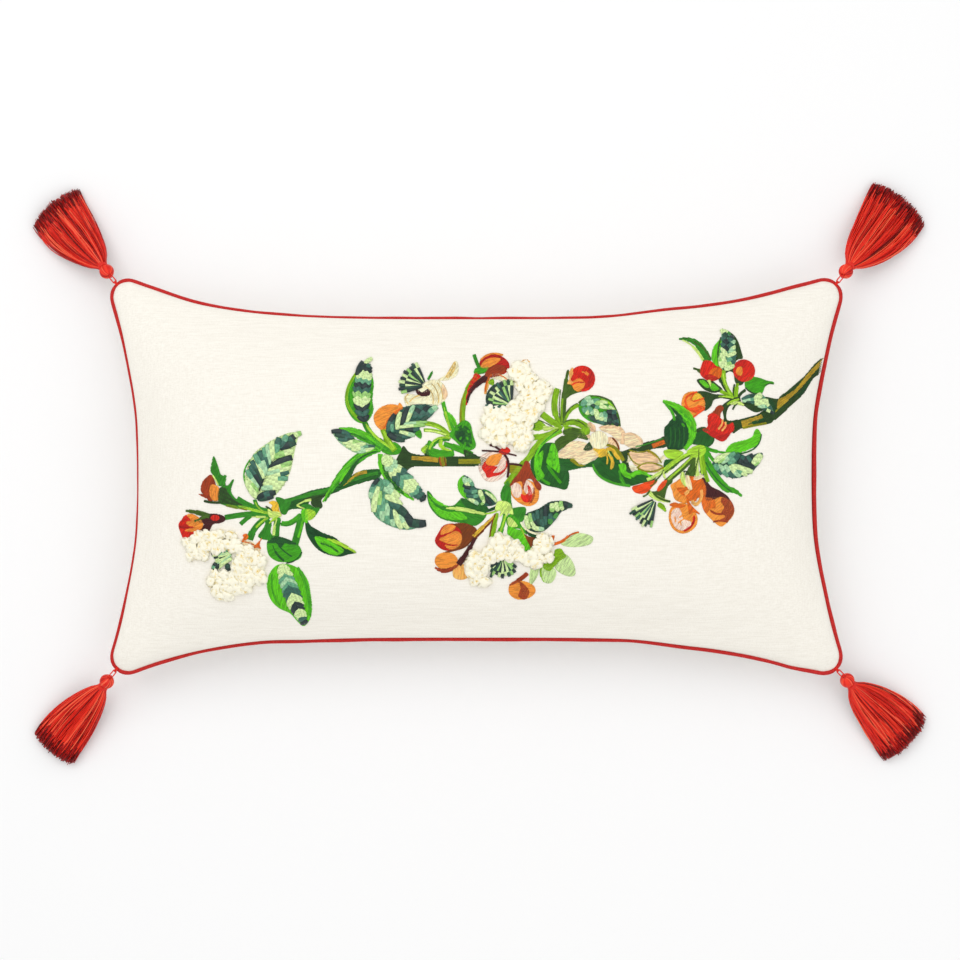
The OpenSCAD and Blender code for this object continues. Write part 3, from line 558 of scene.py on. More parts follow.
def from_corner(k, points):
    """Points in a corner's own frame (out along the tassel, across, up) to the row frame."""
    a = math.radians(TASSEL_DIR[k])
    p = np.asarray(points, float)
    x, y = CORNER_XY[k]
    return np.stack([x + p[..., 0] * math.cos(a) - p[..., 1] * math.sin(a),
                     y + p[..., 0] * math.sin(a) + p[..., 1] * math.cos(a), CORNER_Z + p[..., 2]], -1)


def from_head(k, points):
    """Points along the drooping ball and neck to the row frame."""
    p = np.asarray(points, float)
    c, s = math.cos(HEAD_DROOP), math.sin(HEAD_DROOP)
    return from_corner(k, np.stack([HINGE_X + p[..., 0] * c + p[..., 2] * s, p[..., 1],
                                    -p[..., 0] * s + p[..., 2] * c], -1))


def twisted(path, closed, radius=0.42, spread=0.34, turns=8):
    """Two threads twisted round a path in its own plane."""
    n = len(path)
    along = unit(np.roll(path, -1, 0) - np.roll(path, 1, 0)) if closed else unit(np.gradient(path, axis=0))
    normal = np.cross(path[n // 4] - path[0], path[n // 2] - path[0])
    flat = unit(normal[None])[0]
    side = np.cross(along, flat[None])
    out = []
    for phase in (0, math.pi):
        t = 2 * math.pi * turns * np.arange(n) / n + phase
        line = path + spread * (np.cos(t)[:, None] * side + np.sin(t)[:, None] * flat[None])
        out.append(tubes(line[None], radius, 6, closed))
    return joined(out)


def skirt(k):
    """The cut threads, which fan out and come to rest on the surface below."""
    own = np.random.default_rng(40 + k)
    n, s = SKIRT_THREADS, 13
    t = np.linspace(0, 1, s)[None, :]
    rho = np.sqrt(own.uniform(0, 1, n))
    phi = own.uniform(0, 2 * np.pi, n)
    across, up = (rho * np.cos(phi))[:, None], (rho * np.sin(phi))[:, None]
    length = (1 - 0.07 * own.uniform(0, 1, n) ** 2 + 0.012 * own.normal(0, 1, n))[:, None]
    tt = t * length
    down = np.array([math.cos(HEAD_DROOP), -math.sin(HEAD_DROOP)])
    start = np.array([HINGE_X, CORNER_Z]) + (NECK_END - 5) * down
    finish = np.array([HINGE_X + TASSEL_REACH[k], TASSEL_END_T / 2])
    bend = start + down * 22
    land = finish - np.array([26.0, -2.5])
    cubic = [(1 - tt) ** 3, 3 * tt * (1 - tt) ** 2, 3 * tt ** 2 * (1 - tt), tt ** 3]
    cx = sum(c * p for c, p in zip(cubic, (start[0], bend[0], land[0], finish[0])))
    cz = sum(c * p for c, p in zip(cubic, (start[1], bend[1], land[1], finish[1])))
    half_fan = TASSEL_FAN[k] / 2
    free = np.maximum(0, tt - 0.055) / 0.945
    side_swell = 1 + 0.14 * np.sign(across) * TASSEL_LEAN[k] * np.sin(np.pi * free)
    spread = CORE_R + (half_fan - CORE_R) * np.sin(np.pi / 2 * free) ** 0.72 * side_swell
    belly = 5.4 * np.sin(np.pi * np.minimum(1, free * 1.05)) ** 0.7 * (1 - 0.4 * tt)
    thick = CORE_R + belly + (TASSEL_END_T / 2 - CORE_R) * tt
    clump = np.round(across * 13) / 13
    lane = across + (clump - across) * 0.3 * tt ** 2
    curl = 1.25 * np.sin(tt * own.uniform(4, 9, (n, 1)) + own.uniform(0, 6.28, (n, 1))) * tt
    y = lane * spread + curl
    x = cx - (lane * spread) ** 2 * tt / 150
    z = np.maximum(cz + up * thick + 0.4 * curl, THREAD_R)
    paths = np.stack([x, y, z - CORNER_Z], -1)
    radius = np.concatenate([np.full((n, s - 1), SKIRT_THREAD_R), np.full((n, 1), SKIRT_TIP_R)], 1)
    verts, faces, owner = tubes(from_corner(k, paths), radius, 4)
    # Each thread takes one of the reds at random; those given red 3 carry a painted highlight.
    shade = own.choice([0, 1, 1, 2, 2, 3], n)
    # Threads on the underside of the bundle, and one in eight more at random, take red 0 or 4: painted shade
    # under the tassel and in the gaps between its threads.
    low = (up[:, 0] < -0.3) | (own.uniform(0, 1, n) < 0.12)
    shade = np.where(low, own.choice([0, 4, 4], n), shade)
    face_shade = shade[owner]
    segment = np.tile(np.repeat(np.arange(s - 1), 4), n)
    sides = len(segment)
    near_end = segment >= s - 2 - own.integers(0, 2, n)[owner[:sides]]
    darker = np.where(face_shade[:sides] > 1, 0, 4)
    face_shade[:sides] = np.where(near_end, darker, face_shade[:sides])
    face_shade[sides:] = 4
    return mesh_object("tassel_threads_" + CORNERS[k], verts, faces, REDS, face_shade)


def head(k):
    """A ball of threads laid from pole to pole over a core, down into the neck, with its eye."""
    lines = 46
    turn = 2 * np.pi * np.arange(lines) / lines
    t = np.linspace(0.06, 1, 17)
    lat = t * np.pi * 0.86
    ball = np.stack([BALL_X - (HEAD_R - 0.35) * np.cos(lat), (HEAD_R - 0.35) * np.sin(lat)], -1)
    neck = np.array([[NECK_START + 1.0, CORE_R + 0.15], [NECK_END - 0.5, CORE_R]])
    profile = np.concatenate([ball, neck])
    spin = np.linspace(0, 0.5, len(profile))[None, :] + turn[:, None]
    paths = np.stack([np.broadcast_to(profile[:, 0], spin.shape), profile[:, 1] * np.cos(spin),
                      profile[:, 1] * np.sin(spin)], -1)
    threads = tubes(from_head(k, paths), 0.55, 5)
    u = np.linspace(0, np.pi, 13)
    core_line = np.stack([BALL_X - (HEAD_R - 0.5) * np.cos(u), np.zeros(13), np.zeros(13)], -1)
    core_r = np.maximum((HEAD_R - 0.6) * np.sin(u), 0.3)
    core = tubes(from_head(k, core_line)[None], core_r[None], 20)
    post = tubes(from_head(k, np.array([[[BALL_X, 0, 0], [NECK_END - 1, 0, 0], [NECK_END, 0, 0]]])), CORE_R,
                 16)
    a = 2 * np.pi * np.arange(40) / 40
    eye = twisted(from_head(k, np.stack([EYE_R * np.cos(a), np.zeros(40), EYE_R * np.sin(a)], -1)), True,
                  0.36, 0.28, 5)
    parts = [threads, core, post, eye]
    verts, faces, owner = joined(parts)
    per = len(threads[1])
    shade = np.full(len(faces), 0)
    shade[:per] = np.random.default_rng(5 + k).choice([1, 1, 2, 2, 0, 3], lines)[threads[2]]
    # The core and post under the threads take the darkest red, painted shade in the gaps between the threads.
    shade[per:] = 4
    shade[owner == 3] = 1
    return mesh_object("tassel_ball_" + CORNERS[k], verts, faces, REDS, shade)


def binding(k):
    """Thread wound tightly round the neck."""
    turns, n = 6, 6 * 26
    a = 2 * np.pi * turns * np.arange(n) / n
    x = np.linspace(NECK_START + 0.4, NECK_START + 5.0, n)
    r = CORE_R + 1.05
    coil = tubes(from_head(k, np.stack([x, r * np.cos(a), r * np.sin(a)], -1))[None], 0.55, 7)
    middle = np.stack([np.linspace(NECK_START, NECK_START + 5.2, 4), np.zeros(4), np.zeros(4)], -1)
    sleeve = tubes(from_head(k, middle)[None], CORE_R + 0.85, 24)
    verts, faces, owner = joined([coil, sleeve])
    # The sleeve under the coil takes the darkest red, painted shade between its turns.
    return mesh_object("tassel_winding_" + CORNERS[k], verts, faces, REDS, np.where(owner == 0, 1, 4))


def loop(k):
    """The hanging loop, a flat ring with straight sides."""
    a = np.linspace(-np.pi / 2, np.pi / 2, 14)
    far = np.stack([LOOP_LEN + LOOP_R * np.cos(a), LOOP_R * np.sin(a)], -1)
    near = np.stack([-LOOP_R * np.cos(a), -LOOP_R * np.sin(a)], -1)
    side = np.linspace(0.15, 0.85, 6)[:, None]
    up_side = np.concatenate([LOOP_LEN * (1 - side), np.full_like(side, LOOP_R)], 1)
    down_side = np.concatenate([LOOP_LEN * side, np.full_like(side, -LOOP_R)], 1)
    flat = np.concatenate([far, up_side, near, down_side])
    path = np.concatenate([flat + [[EYE_STAND_OFF, 0]], np.zeros((len(flat), 1))], 1)
    verts, faces, _ = twisted(from_corner(k, path), True, 0.38, 0.3, 9)
    return mesh_object("tassel_cord_" + CORNERS[k], verts, faces, [REDS[1]])


def eye(k):
    """Threads sewn over the corner of the piping, which the loop hangs from."""
    parts = []
    for shift in (-0.75, 0.0, 0.75):
        a = np.linspace(0, 2 * np.pi, 24, endpoint=False)
        path = np.stack([2.6 + 2.7 * np.cos(a), shift + 0 * a, 3.3 * np.sin(a)], -1)
        parts.append(tubes(from_corner(k, path)[None], 0.42, 6, True))
    verts, faces, _ = joined(parts)
    return mesh_object("corner_thread_" + CORNERS[k], verts, faces, [REDS[1]])


for k, corner in enumerate(CORNERS):
    place(skirt(k), "tassel_" + corner, ["tassel_skirt_" + corner], "tassel_thread")
    place(head(k), "tassel_" + corner, ["tassel_head_" + corner], "tassel_thread")
    place(binding(k), "tassel_" + corner, ["tassel_binding_" + corner], "binding_thread")
    place(loop(k), "loop_" + corner, ["tassel_loop_" + corner], "binding_thread")
    place(eye(k), "cushion", ["corner_eye_" + corner], "binding_thread")

# ---------------------------------------- embroidery: how threads and ribbons are laid

THREAD_COLOURS = {
    "bark": (48, 78, 34), "moss": (72, 106, 30), "olive": (150, 148, 18), "tan": (190, 158, 44),
    "deep": (28, 82, 40), "dark": (38, 104, 38), "green": (56, 146, 36), "leaf": (72, 172, 30),
    "bright": (104, 208, 32), "fresh": (140, 190, 26), "lime": (176, 222, 60), "pale": (214, 240, 130),
    "red": (222, 44, 28), "crimson": (196, 34, 26), "rust": (168, 66, 30), "brown": (132, 66, 20),
    "maroon": (78, 30, 32), "orange": (250, 160, 62), "amber": (226, 112, 26), "apricot": (254, 192, 104),
    "peach": (252, 228, 188), "shell": (246, 210, 168), "cream": (254, 246, 206), "blush": (250, 222, 206),
    "celery": (206, 230, 164), "flame": (246, 88, 30), "sand": (226, 196, 120), "gold": (236, 196, 60),
}
RIBBON_COLOURS = {
    "ink": (18, 44, 42), "teal": (44, 96, 80), "jade": (96, 160, 122), "mint": (164, 208, 160),
    "frost": (206, 230, 160), "spring": (150, 200, 110), "pine": (26, 70, 52), "grass": (60, 140, 50),
}
STITCH_W, STITCH_STEP, STITCH_LEN, STITCH_H = 0.92, 0.58, 5.2, 0.34
STITCH_MIN, STITCH_OVERLAP = 0.5, 0.15
SEWN_ABOVE = SEAM_Z + 5

# The face stands nearer the eye than the seam does, so the sewing on it is laid a little nearer the middle.
FACE_SCALE = 0.987
LAYER = 0.2


class Work:
    """The stitches of one embroidery node, gathered until they are made into a mesh."""

    def __init__(self, name, node, slot):
        self.name, self.node, self.slot = name, node, slot
        self.colours, self.lines, self.shades, self.lifts = [], [], [], []
        self.parts, self.part_mats = [], []

    def colour(self, name):
        if name not in self.colours:
            self.colours.append(name)
        return self.colours.index(name)


WORKS = {}


def rounded(points, per=5):
    """A smooth closed outline through the points."""
    p = np.array(points, float)
    t = (np.arange(per) / per)[:, None]
    out = []
    for i in range(len(p)):
        a, b, c, d = p[i - 1], p[i], p[(i + 1) % len(p)], p[(i + 2) % len(p)]
        square, cube = 2 * a - 5 * b + 4 * c - d, 3 * b - a - 3 * c + d
        out.append(0.5 * (2 * b + (c - a) * t + square * t ** 2 + cube * t ** 3))
    return np.concatenate(out)


def stitch_rows(outline, angle):
    """Straight stitches, side by side at that angle, that fill a closed outline: start and end points."""
    c, s = math.cos(math.radians(angle)), math.sin(math.radians(angle))
    turn = np.array([[c, -s], [s, c]])
    q = outline @ turn
    q2 = np.roll(q, -1, 0)
    low, high = q[:, 1].min(), q[:, 1].max()
    starts, ends = [], []
    count = max(1, int(round((high - low) / STITCH_STEP)))
    for k in range(count):
        y = low + (k + 0.5) * (high - low) / count
        cross = (q[:, 1] > y) != (q2[:, 1] > y)
        a, b = q[cross], q2[cross]
        xs = np.sort(a[:, 0] + (y - a[:, 1]) * (b[:, 0] - a[:, 0]) / (b[:, 1] - a[:, 1]))
        for x0, x1 in zip(xs[::2], xs[1::2]):
            if x1 - x0 < STITCH_MIN:
                continue
            first = STITCH_LEN * (math.floor(x0 / STITCH_LEN) + (k * 0.618) % 1)
            cuts = np.arange(first, x1, STITCH_LEN)
            cuts = cuts[(cuts > x0 + 1.4) & (cuts < x1 - 1.4)]
            edges = np.concatenate([[x0], cuts, [x1]])
            for e0, e1 in zip(edges[:-1], edges[1:]):
                starts.append((e0 - STITCH_OVERLAP, y))
                ends.append((e1 + STITCH_OVERLAP, y))
    if not starts:
        return np.zeros((0, 2)), np.zeros((0, 2))
    back = turn.T
    return np.array(starts) @ back, np.array(ends) @ back


def lay(node, colour, start, middle, end, layer):
    """Adds stitches of one colour to a node, layer thread layers up from the cloth."""
    w = WORKS[node]
    if len(start) == 0:
        return
    w.lines.append(np.stack([start, middle, end], 1))
    w.shades.append(np.full(len(start), w.colour(colour)))
    w.lifts.append(np.full(len(start), 0.1 + LAYER * layer))


def blob(node, colour, points, angle=0, layer=1):
    """A filled shape with a smooth outline through the points."""
    start, end = stitch_rows(rounded(points), angle)
    lay(node, colour, start, (start + end) / 2, end, layer)


def oval(node, colour, centre, rx, ry, turn=0, angle=90, layer=1):
    """A filled oval."""
    a = 2 * np.pi * np.arange(24) / 24
    c, s = math.cos(math.radians(turn)), math.sin(math.radians(turn))
    x, y = rx * np.cos(a), ry * np.sin(a)
    outline = np.stack([centre[0] + x * c - y * s, centre[1] + x * s + y * c], -1)
    start, end = stitch_rows(outline, angle + turn)
    lay(node, colour, start, (start + end) / 2, end, layer)


class Curve:
    """A curve from a to b pulled towards c, with a width along it."""

    def __init__(self, a, c, b, wa, wb, belly=0, lean=0.9):
        self.p = np.array([a, c, b], float)
        self.w = (wa, wb, belly, lean)
        t = np.linspace(0, 1, 41)
        self.t = t
        pts = self.at(t)
        self.s = np.concatenate([[0], np.cumsum(np.linalg.norm(np.diff(pts, axis=0), axis=1))])
        self.length = self.s[-1]

    def at(self, t):
        t = np.asarray(t, float)[..., None]
        a, c, b = self.p
        return a * (1 - t) ** 2 + 2 * c * t * (1 - t) + b * t ** 2

    def half(self, s):
        t = np.interp(s, self.s, self.t)
        wa, wb, belly, lean = self.w
        return (wa * (1 - t) + wb * t + belly * np.sin(np.pi * t ** (lean / 0.9)) ** 0.9) / 2

    def placed(self, q):
        """From (distance along, distance to the left) to the face."""
        t = np.interp(q[:, 0], self.s, self.t)
        over = q[:, 0] - np.clip(q[:, 0], 0, self.length)
        a, c, b = self.p
        d = unit((c - a) * (1 - t)[:, None] + (b - c) * t[:, None])
        n = np.stack([-d[:, 1], d[:, 0]], -1)
        return self.at(t) + q[:, 1:] * n + over[:, None] * d


def strip(node, colour, a, c, b, wa, wb, belly=0, side=(-1, 1), angle=0, layer=1, span=(0, 1)):
    """A filled band along a curve. side keeps a share of its width, from -1 on the right to 1 on the left."""
    curve = Curve(a, c, b, wa, wb, belly)
    s = np.linspace(span[0], span[1], 15) * curve.length
    half = curve.half(s)
    outline = np.concatenate([np.stack([s, side[0] * half], -1), np.stack([s, side[1] * half], -1)[::-1]])
    start, end = stitch_rows(outline, angle)
    if len(start):
        lay(node, colour, curve.placed(start), curve.placed((start + end) / 2), curve.placed(end), layer)


def stitch_mesh(w):
    """All the threads of one node as closed, slightly domed stitches."""
    lines = np.concatenate(w.lines)
    shades = np.concatenate(w.shades)
    lift = np.concatenate(w.lifts)[:, None]
    at = np.array([0, 0.14, 0.86, 1.0])
    a, m, b = lines[:, 0, None], lines[:, 1, None], lines[:, 2, None]
    t = at[None, :, None]
    xy = a * (1 - t) * (1 - 2 * t) + 4 * m * t * (1 - t) + b * t * (2 * t - 1)
    x, y = xy[..., 0] * FACE_SCALE, xy[..., 1] * FACE_SCALE
    z = front_height(x, y)
    keep = z.min(1) > SEWN_ABOVE
    lines, shades, lift, x, y, z = lines[keep], shades[keep], lift[keep], x[keep], y[keep], z[keep]
    normal = front_normal(x, y)
    centre = np.stack([x, y, z], -1)
    along = unit(np.gradient(centre, axis=1))
    side = unit(np.cross(along, normal))
    wide = np.array([0.55, 1, 1, 0.55])[None, :, None] * STITCH_W / 2
    high = np.array([0.35, 1, 1, 0.35])[None, :, None] * STITCH_H
    own = np.random.default_rng(len(lines))
    high = high * own.uniform(0.8, 1.15, (len(lines), 1, 1))
    base = centre + normal * (lift[:, None] - 0.12)
    ring = np.stack([base - side * wide, base + normal * (high + 0.12), base + side * wide], 2)
    index = np.arange(ring.shape[0] * 12).reshape(-1, 4, 3)
    nxt = np.roll(index, -1, 2)
    quads = np.stack([index[:, :3], nxt[:, :3], nxt[:, 1:], index[:, 1:]], -1).reshape(-1, 4)
    caps = np.concatenate([index[:, 0, ::-1], index[:, 3]])
    tone = own.integers(0, 3, len(lines))
    mats = shades * 3 + tone
    face_mats = np.concatenate([np.repeat(mats, 9), mats, mats])
    return ring.reshape(-1, 3), quads.tolist() + caps.tolist(), face_mats


def ribbon(node, colours, line, width, rise, bow=0.35, layer=1, taper=0.45):
    """A ribbon over the points of line, arched up by rise, rolled down at its edges and coloured along it."""
    w = WORKS[node]
    steps = 7
    p = np.array(line, float) * FACE_SCALE
    t = np.linspace(0, 1, steps + 1)
    if len(p) == 2:
        p = np.array([p[0], (p[0] + p[1]) / 2, p[1]])
    xy = p[0] * ((1 - t) ** 2)[:, None] + 2 * p[1] * (t * (1 - t))[:, None] + p[2] * (t ** 2)[:, None]
    along = unit(np.gradient(xy, axis=0))
    left = np.stack([-along[:, 1], along[:, 0]], -1)
    wide = width / 2 * (taper + (1 - taper) * np.sin(np.pi * (0.12 + 0.76 * t)) ** 0.7)
    high = rise * np.sin(np.pi * (0.1 + 0.8 * t)) ** 0.8
    across = np.array([-1, -0.62, 0, 0.62, 1.0])
    drop = np.array([0.75, 0.18, 0, 0.18, 0.75])
    verts = []
    for under in (0.0, 0.3):
        q = xy[:, None, :] + left[:, None, :] * (across[None, :, None] * (wide[:, None, None] - 0.4 * under))
        base = front_height(q[..., 0], q[..., 1]) + LAYER * layer
        z = base + high[:, None] * (1 - drop[None, :] * (1 - bow)) - under
        verts.append(np.concatenate([q, z[..., None]], -1).reshape(-1, 3))
    n = (steps + 1) * 5
    faces, mats = [], []
    names = [w.colour(c) for c in colours]
    for i in range(steps):
        shade = names[min(len(names) - 1, int(i * len(names) / steps))] * 3
        for j in range(4):
            a = i * 5 + j
            faces.append([a, a + 1, a + 6, a + 5])
            faces.append([n + a, n + a + 5, n + a + 6, n + a + 1])
            mats += [shade + (i + j) % 3, shade]
        for j in (0, 4):
            a = i * 5 + j
            faces.append([a, a + 5, n + a + 5, n + a] if j == 0 else [a + 5, a, n + a, n + a + 5])
            mats.append(shade)
    for i, flip in ((0, 1), (steps, -1)):
        for j in range(4):
            a = i * 5 + j
            faces.append([a, n + a, n + a + 1, a + 1][::flip])
            mats.append(names[0 if i == 0 else -1] * 3)
    w.parts.append((np.concatenate(verts), faces, np.array(mats)))


def ribbon_column(node, colours, a, c, b, wa, wb, belly=0, step=3.4, layer=2, angle=42, rise=1.7):
    """Short ribbons in pairs on both sides of a midline, like a braid, coloured in turn from a to b."""
    curve = Curve(a, c, b, wa, wb, belly)
    own = np.random.default_rng(int(abs(a[0] * 7 + a[1] * 13)))
    count = max(2, int(round(curve.length / step)))
    for k in range(count):
        s = (k + 0.2) * curve.length / count
        half = float(curve.half(min(s + step * 0.8, curve.length * 0.96)))
        name = colours[int(k * len(colours) / count)]
        other = colours[min(len(colours) - 1, int((k + 0.7) * len(colours) / count))]
        for side in (1, -1):
            reach = max(half, 1.6)
            run = reach / math.tan(math.radians(angle))
            q = np.array([[s, -side * 0.5], [s + run * 0.45, side * reach * 0.62],
                          [s + run * own.uniform(0.85, 1.1), side * reach * own.uniform(0.92, 1.06)]])
            ribbon(node, [name, other], curve.placed(q), step * own.uniform(1.05, 1.3),
                   rise * own.uniform(0.8, 1.2), layer=layer + 0.4 * (k % 2))


def ribbon_fan(node, colours, root, out, spread, pleats, rise=2.6, start=0.12):
    """Pleats of ribbon side by side from a root to an arc."""
    root, out = np.array(root, float), np.array(out, float)
    reach = out - root
    own = np.random.default_rng(int(abs(root[0] * 3 + root[1] * 5)))
    size = float(np.linalg.norm(reach))
    for k in range(pleats):
        a = math.radians(spread * (k / (pleats - 1) - 0.5))
        c, s = math.cos(a), math.sin(a)
        d = np.array([reach[0] * c - reach[1] * s, reach[0] * s + reach[1] * c])
        d *= own.uniform(0.9, 1.06)
        width = max(1.5, 1.25 * size * math.radians(spread) / pleats)
        first = colours[k % len(colours)]
        ribbon(node, [first, first, colours[(k + 1) % len(colours)]], [root + start * d, root + 0.6 * d,
                root + d], width, rise * own.uniform(0.7, 1.15), bow=0.1, layer=2, taper=0.35)


def ruffles(node, outline, spacing=7.0, size=5.0):
    """Crumpled puffs of ribbon that fill an outline, with darker yellow in their folds as painted shade."""
    w = WORKS[node]
    shades = [w.colour(c) for c in ("milk", "butter_fold_shade", "honey_fold_shade")]
    shape = rounded(outline)
    own = np.random.default_rng(len(WORKS) + int(abs(shape.sum())) % 1000)
    lo, hi = shape.min(0), shape.max(0)
    nxt = np.roll(shape, -1, 0)
    ball = icosphere(3)
    row = 0
    y = lo[1] + spacing * 0.4
    while y < hi[1]:
        x = lo[0] + spacing * (0.3 + 0.5 * (row % 2))
        while x < hi[0]:
            p = np.array([x, y]) + own.normal(0, 0.13 * spacing, 2)
            up = (shape[:, 1] > p[1]) != (nxt[:, 1] > p[1])
            dy = np.where(nxt[:, 1] == shape[:, 1], 1, nxt[:, 1] - shape[:, 1])
            hits = up & (p[0] < (nxt[:, 0] - shape[:, 0]) * (p[1] - shape[:, 1]) / dy + shape[:, 0])
            if hits.sum() % 2:
                add_puff(w, ball, p, size * own.uniform(0.85, 1.15), own, shades)
            x += spacing
        y += spacing * 0.86
        row += 1


def icosphere(level):
    """The points and triangles of a round ball of radius 1."""
    bm = bmesh.new()
    bmesh.ops.create_icosphere(bm, subdivisions=level, radius=1.0)
    verts = np.array([v.co[:] for v in bm.verts])
    faces = np.array([[v.index for v in f.verts] for f in bm.faces])
    bm.free()
    return verts, faces


def add_puff(w, ball, p, size, own, shades):
    """One crumpled knot of ribbon, with painted shade: darker yellow in its creases."""
    verts, faces = ball
    shift = own.uniform(-50, 50, 3)
    field = np.array([mnoise.noise(Vector(v * 1.15 + shift)) for v in verts])
    fine = np.array([mnoise.noise(Vector(v * 2.6 + shift)) for v in verts])
    crease = np.exp(-(field / 0.09) ** 2)
    fold = np.exp(-(fine / 0.1) ** 2)
    r = 1 + 0.5 * np.abs(field) - 0.3 * crease - 0.1 * fold
    turn = own.uniform(0, 2 * np.pi)
    c, s = math.cos(turn), math.sin(turn)
    local = verts * r[:, None] * np.array([1.12, 0.88, 0.62]) * size
    x = p[0] * FACE_SCALE + local[:, 0] * c - local[:, 1] * s
    y = p[1] * FACE_SCALE + local[:, 0] * s + local[:, 1] * c
    ground = front_height(x, y)
    z = ground + np.maximum(local[:, 2] + 0.42 * size, -0.2)
    deep = crease[faces].mean(1)
    # Faces deep in the creases take the darker yellows, painted shade in the folds.
    mats = np.where(deep > 0.72, shades[2], np.where(deep > 0.4, shades[1], shades[0])) * 3 + 1
    w.parts.append((np.stack([x, y, z], -1), faces.tolist(), mats))


def finish_work(w):
    """One object for the node, with a material for each shade of each of its colours."""
    mats = []
    for name in w.colours:
        for tone in (0.9, 1.0, 1.08):
            mats.append(shade_of(name, tone))
    parts = list(w.parts)
    if w.lines:
        parts.append(stitch_mesh(w))
    verts, faces, face_mats, start = [], [], [], 0
    for v, f, m in parts:
        verts.append(v)
        faces += [[i + start for i in face] for face in f]
        face_mats.append(m)
        start += len(v)
    obj = mesh_object(w.name, np.concatenate(verts), faces, mats, np.concatenate(face_mats))
    place(obj, "cushion", [w.node], w.slot)


SHADES = {}


def shade_of(name, tone):
    """The material of a colour at one of its tones, made once."""
    key = name + "_" + str(int(tone * 100))
    if key not in SHADES:
        if name in THREAD_COLOURS:
            SHADES[key] = thread("thread_" + key, [min(255, c * tone) for c in THREAD_COLOURS[name]], 0.45,
                                 0.35)
        else:
            colour = RIBBON_COLOURS.get(name) or RUFFLE_COLOURS[name]
            SHADES[key] = satin("ribbon_" + key, [min(255, c * tone) for c in colour])
    return SHADES[key]


# Cream ribbon; the two darker yellows are painted shade for the folds of the puffs.
RUFFLE_COLOURS = {"milk": (255, 250, 228), "butter_fold_shade": (252, 236, 184), "honey_fold_shade": (240, 200, 110)}


def satin(name, rgb):
    """Satin ribbon in one colour."""
    made = material(name, rgb, rough=0.34, sheen=0.15, specular=0.4)
    bump(made, total(made, [(noise(made, (500, 500, 500), 2.0), 0.6), (wave(made, 900, (0, 0, 0.5)), 0.2)]),
         0.00012)
    return made


for made in [
        Work("branch_threads", "branch_stitching", "branch_thread"),
        Work("stem_threads", "stem_stitching", "stem_thread"),
        Work("leaf_threads", "leaf_stitching", "leaf_thread"),
        Work("leaf_ribbons", "ribbon_leaves", "green_ribbon"),
        Work("tuft_ribbons", "ribbon_tufts", "green_ribbon"),
        Work("blossom_ruffles", "ribbon_blossoms", "cream_ribbon"),
        Work("red_bud_threads", "red_bud_stitching", "red_bud_thread"),
        Work("orange_bud_threads", "orange_bud_stitching", "orange_thread"),
        Work("calyx_threads", "calyx_stitching", "maroon_thread"),
        Work("petal_threads", "petal_stitching", "peach_thread")]:
    WORKS[made.node] = made
BRANCH, STEM, LEAF = "branch_stitching", "stem_stitching", "leaf_stitching"
RIBBON, TUFT, BLOSSOM = "ribbon_leaves", "ribbon_tufts", "ribbon_blossoms"
RED, ORANGE, CALYX, PETAL = "red_bud_stitching", "orange_bud_stitching", "calyx_stitching", "petal_stitching"

# ---------------------------------------- embroidery: the flowering branch, from the middle

# Middle of the branch
blob(BRANCH, "bark", [(-72, 13), (-68, 22), (-65, 27), (-59, 21), (-44, 18.5), (-20, 17.5), (0, 18),
                      (10, 16), (8, 10), (-30, 9), (-55, 9), (-63, 5), (-68, 8)], 0)
strip(BRANCH, "tan", (-58, 16.5), (-46, 16), (-34, 14.5), 3.5, 4.5, layer=2)
oval(BRANCH, "olive", (-30, 13.5), 3.2, 4.8, 0, 90, 2)
strip(BRANCH, "rust", (-32.5, 17.5), (-33.5, 13), (-31, 9.5), 0.9, 0.9, layer=3)
strip(BRANCH, "brown", (-28.5, 17), (-28, 13), (-27, 9.5), 0.9, 0.9, layer=3)
strip(BRANCH, "olive", (-16, 13.5), (-8, 13), (4, 13.5), 4.5, 4.5, layer=2)

# Left hub, over the branch
strip(LEAF, "bright", (-123, 42), (-104, 44), (-84, 25), 3, 8, layer=1)
strip(LEAF, "green", (-119, 39), (-103, 38), (-86, 25), 1.5, 2, layer=2)
blob(STEM, "leaf", [(-90, 27), (-84, 22), (-78, 19.5), (-70, 20), (-67, 25), (-72, 30), (-80, 31),
                    (-88, 30)], -25, 1)
strip(STEM, "green", (-100, 48), (-96, 35), (-74, 23), 4.4, 6, layer=1)
strip(STEM, "lime", (-99, 47), (-94, 36), (-74, 24), 1.6, 2.2, layer=2)
strip(STEM, "fresh", (-84, 42), (-81, 33), (-73, 23), 4.5, 5.5, layer=2)
strip(STEM, "lime", (-83, 40), (-79, 32), (-74, 24), 1.6, 3, layer=3)
strip(LEAF, "leaf", (-86, 24), (-112, 22), (-136, -22), 4, 2, 5, layer=1)
strip(LEAF, "dark", (-88, 22), (-112, 19), (-136, -22), 1, 1, 3.4, side=(-1, 0.1), layer=2)
strip(LEAF, "bright", (-86, 20), (-87, -4), (-56, -21), 4, 1.5, 2.5, layer=1)
strip(LEAF, "dark", (-84, 13), (-80, -3), (-65, -16), 1.5, 1, 3.6, layer=2)
ribbon_column(RIBBON, ["frost", "mint", "frost", "teal", "jade", "frost", "frost", "jade", "teal", "ink"],
              (-83, 19), (-72, 2), (-46, -21), 5, 3, 9, 4.6, 2, 30)

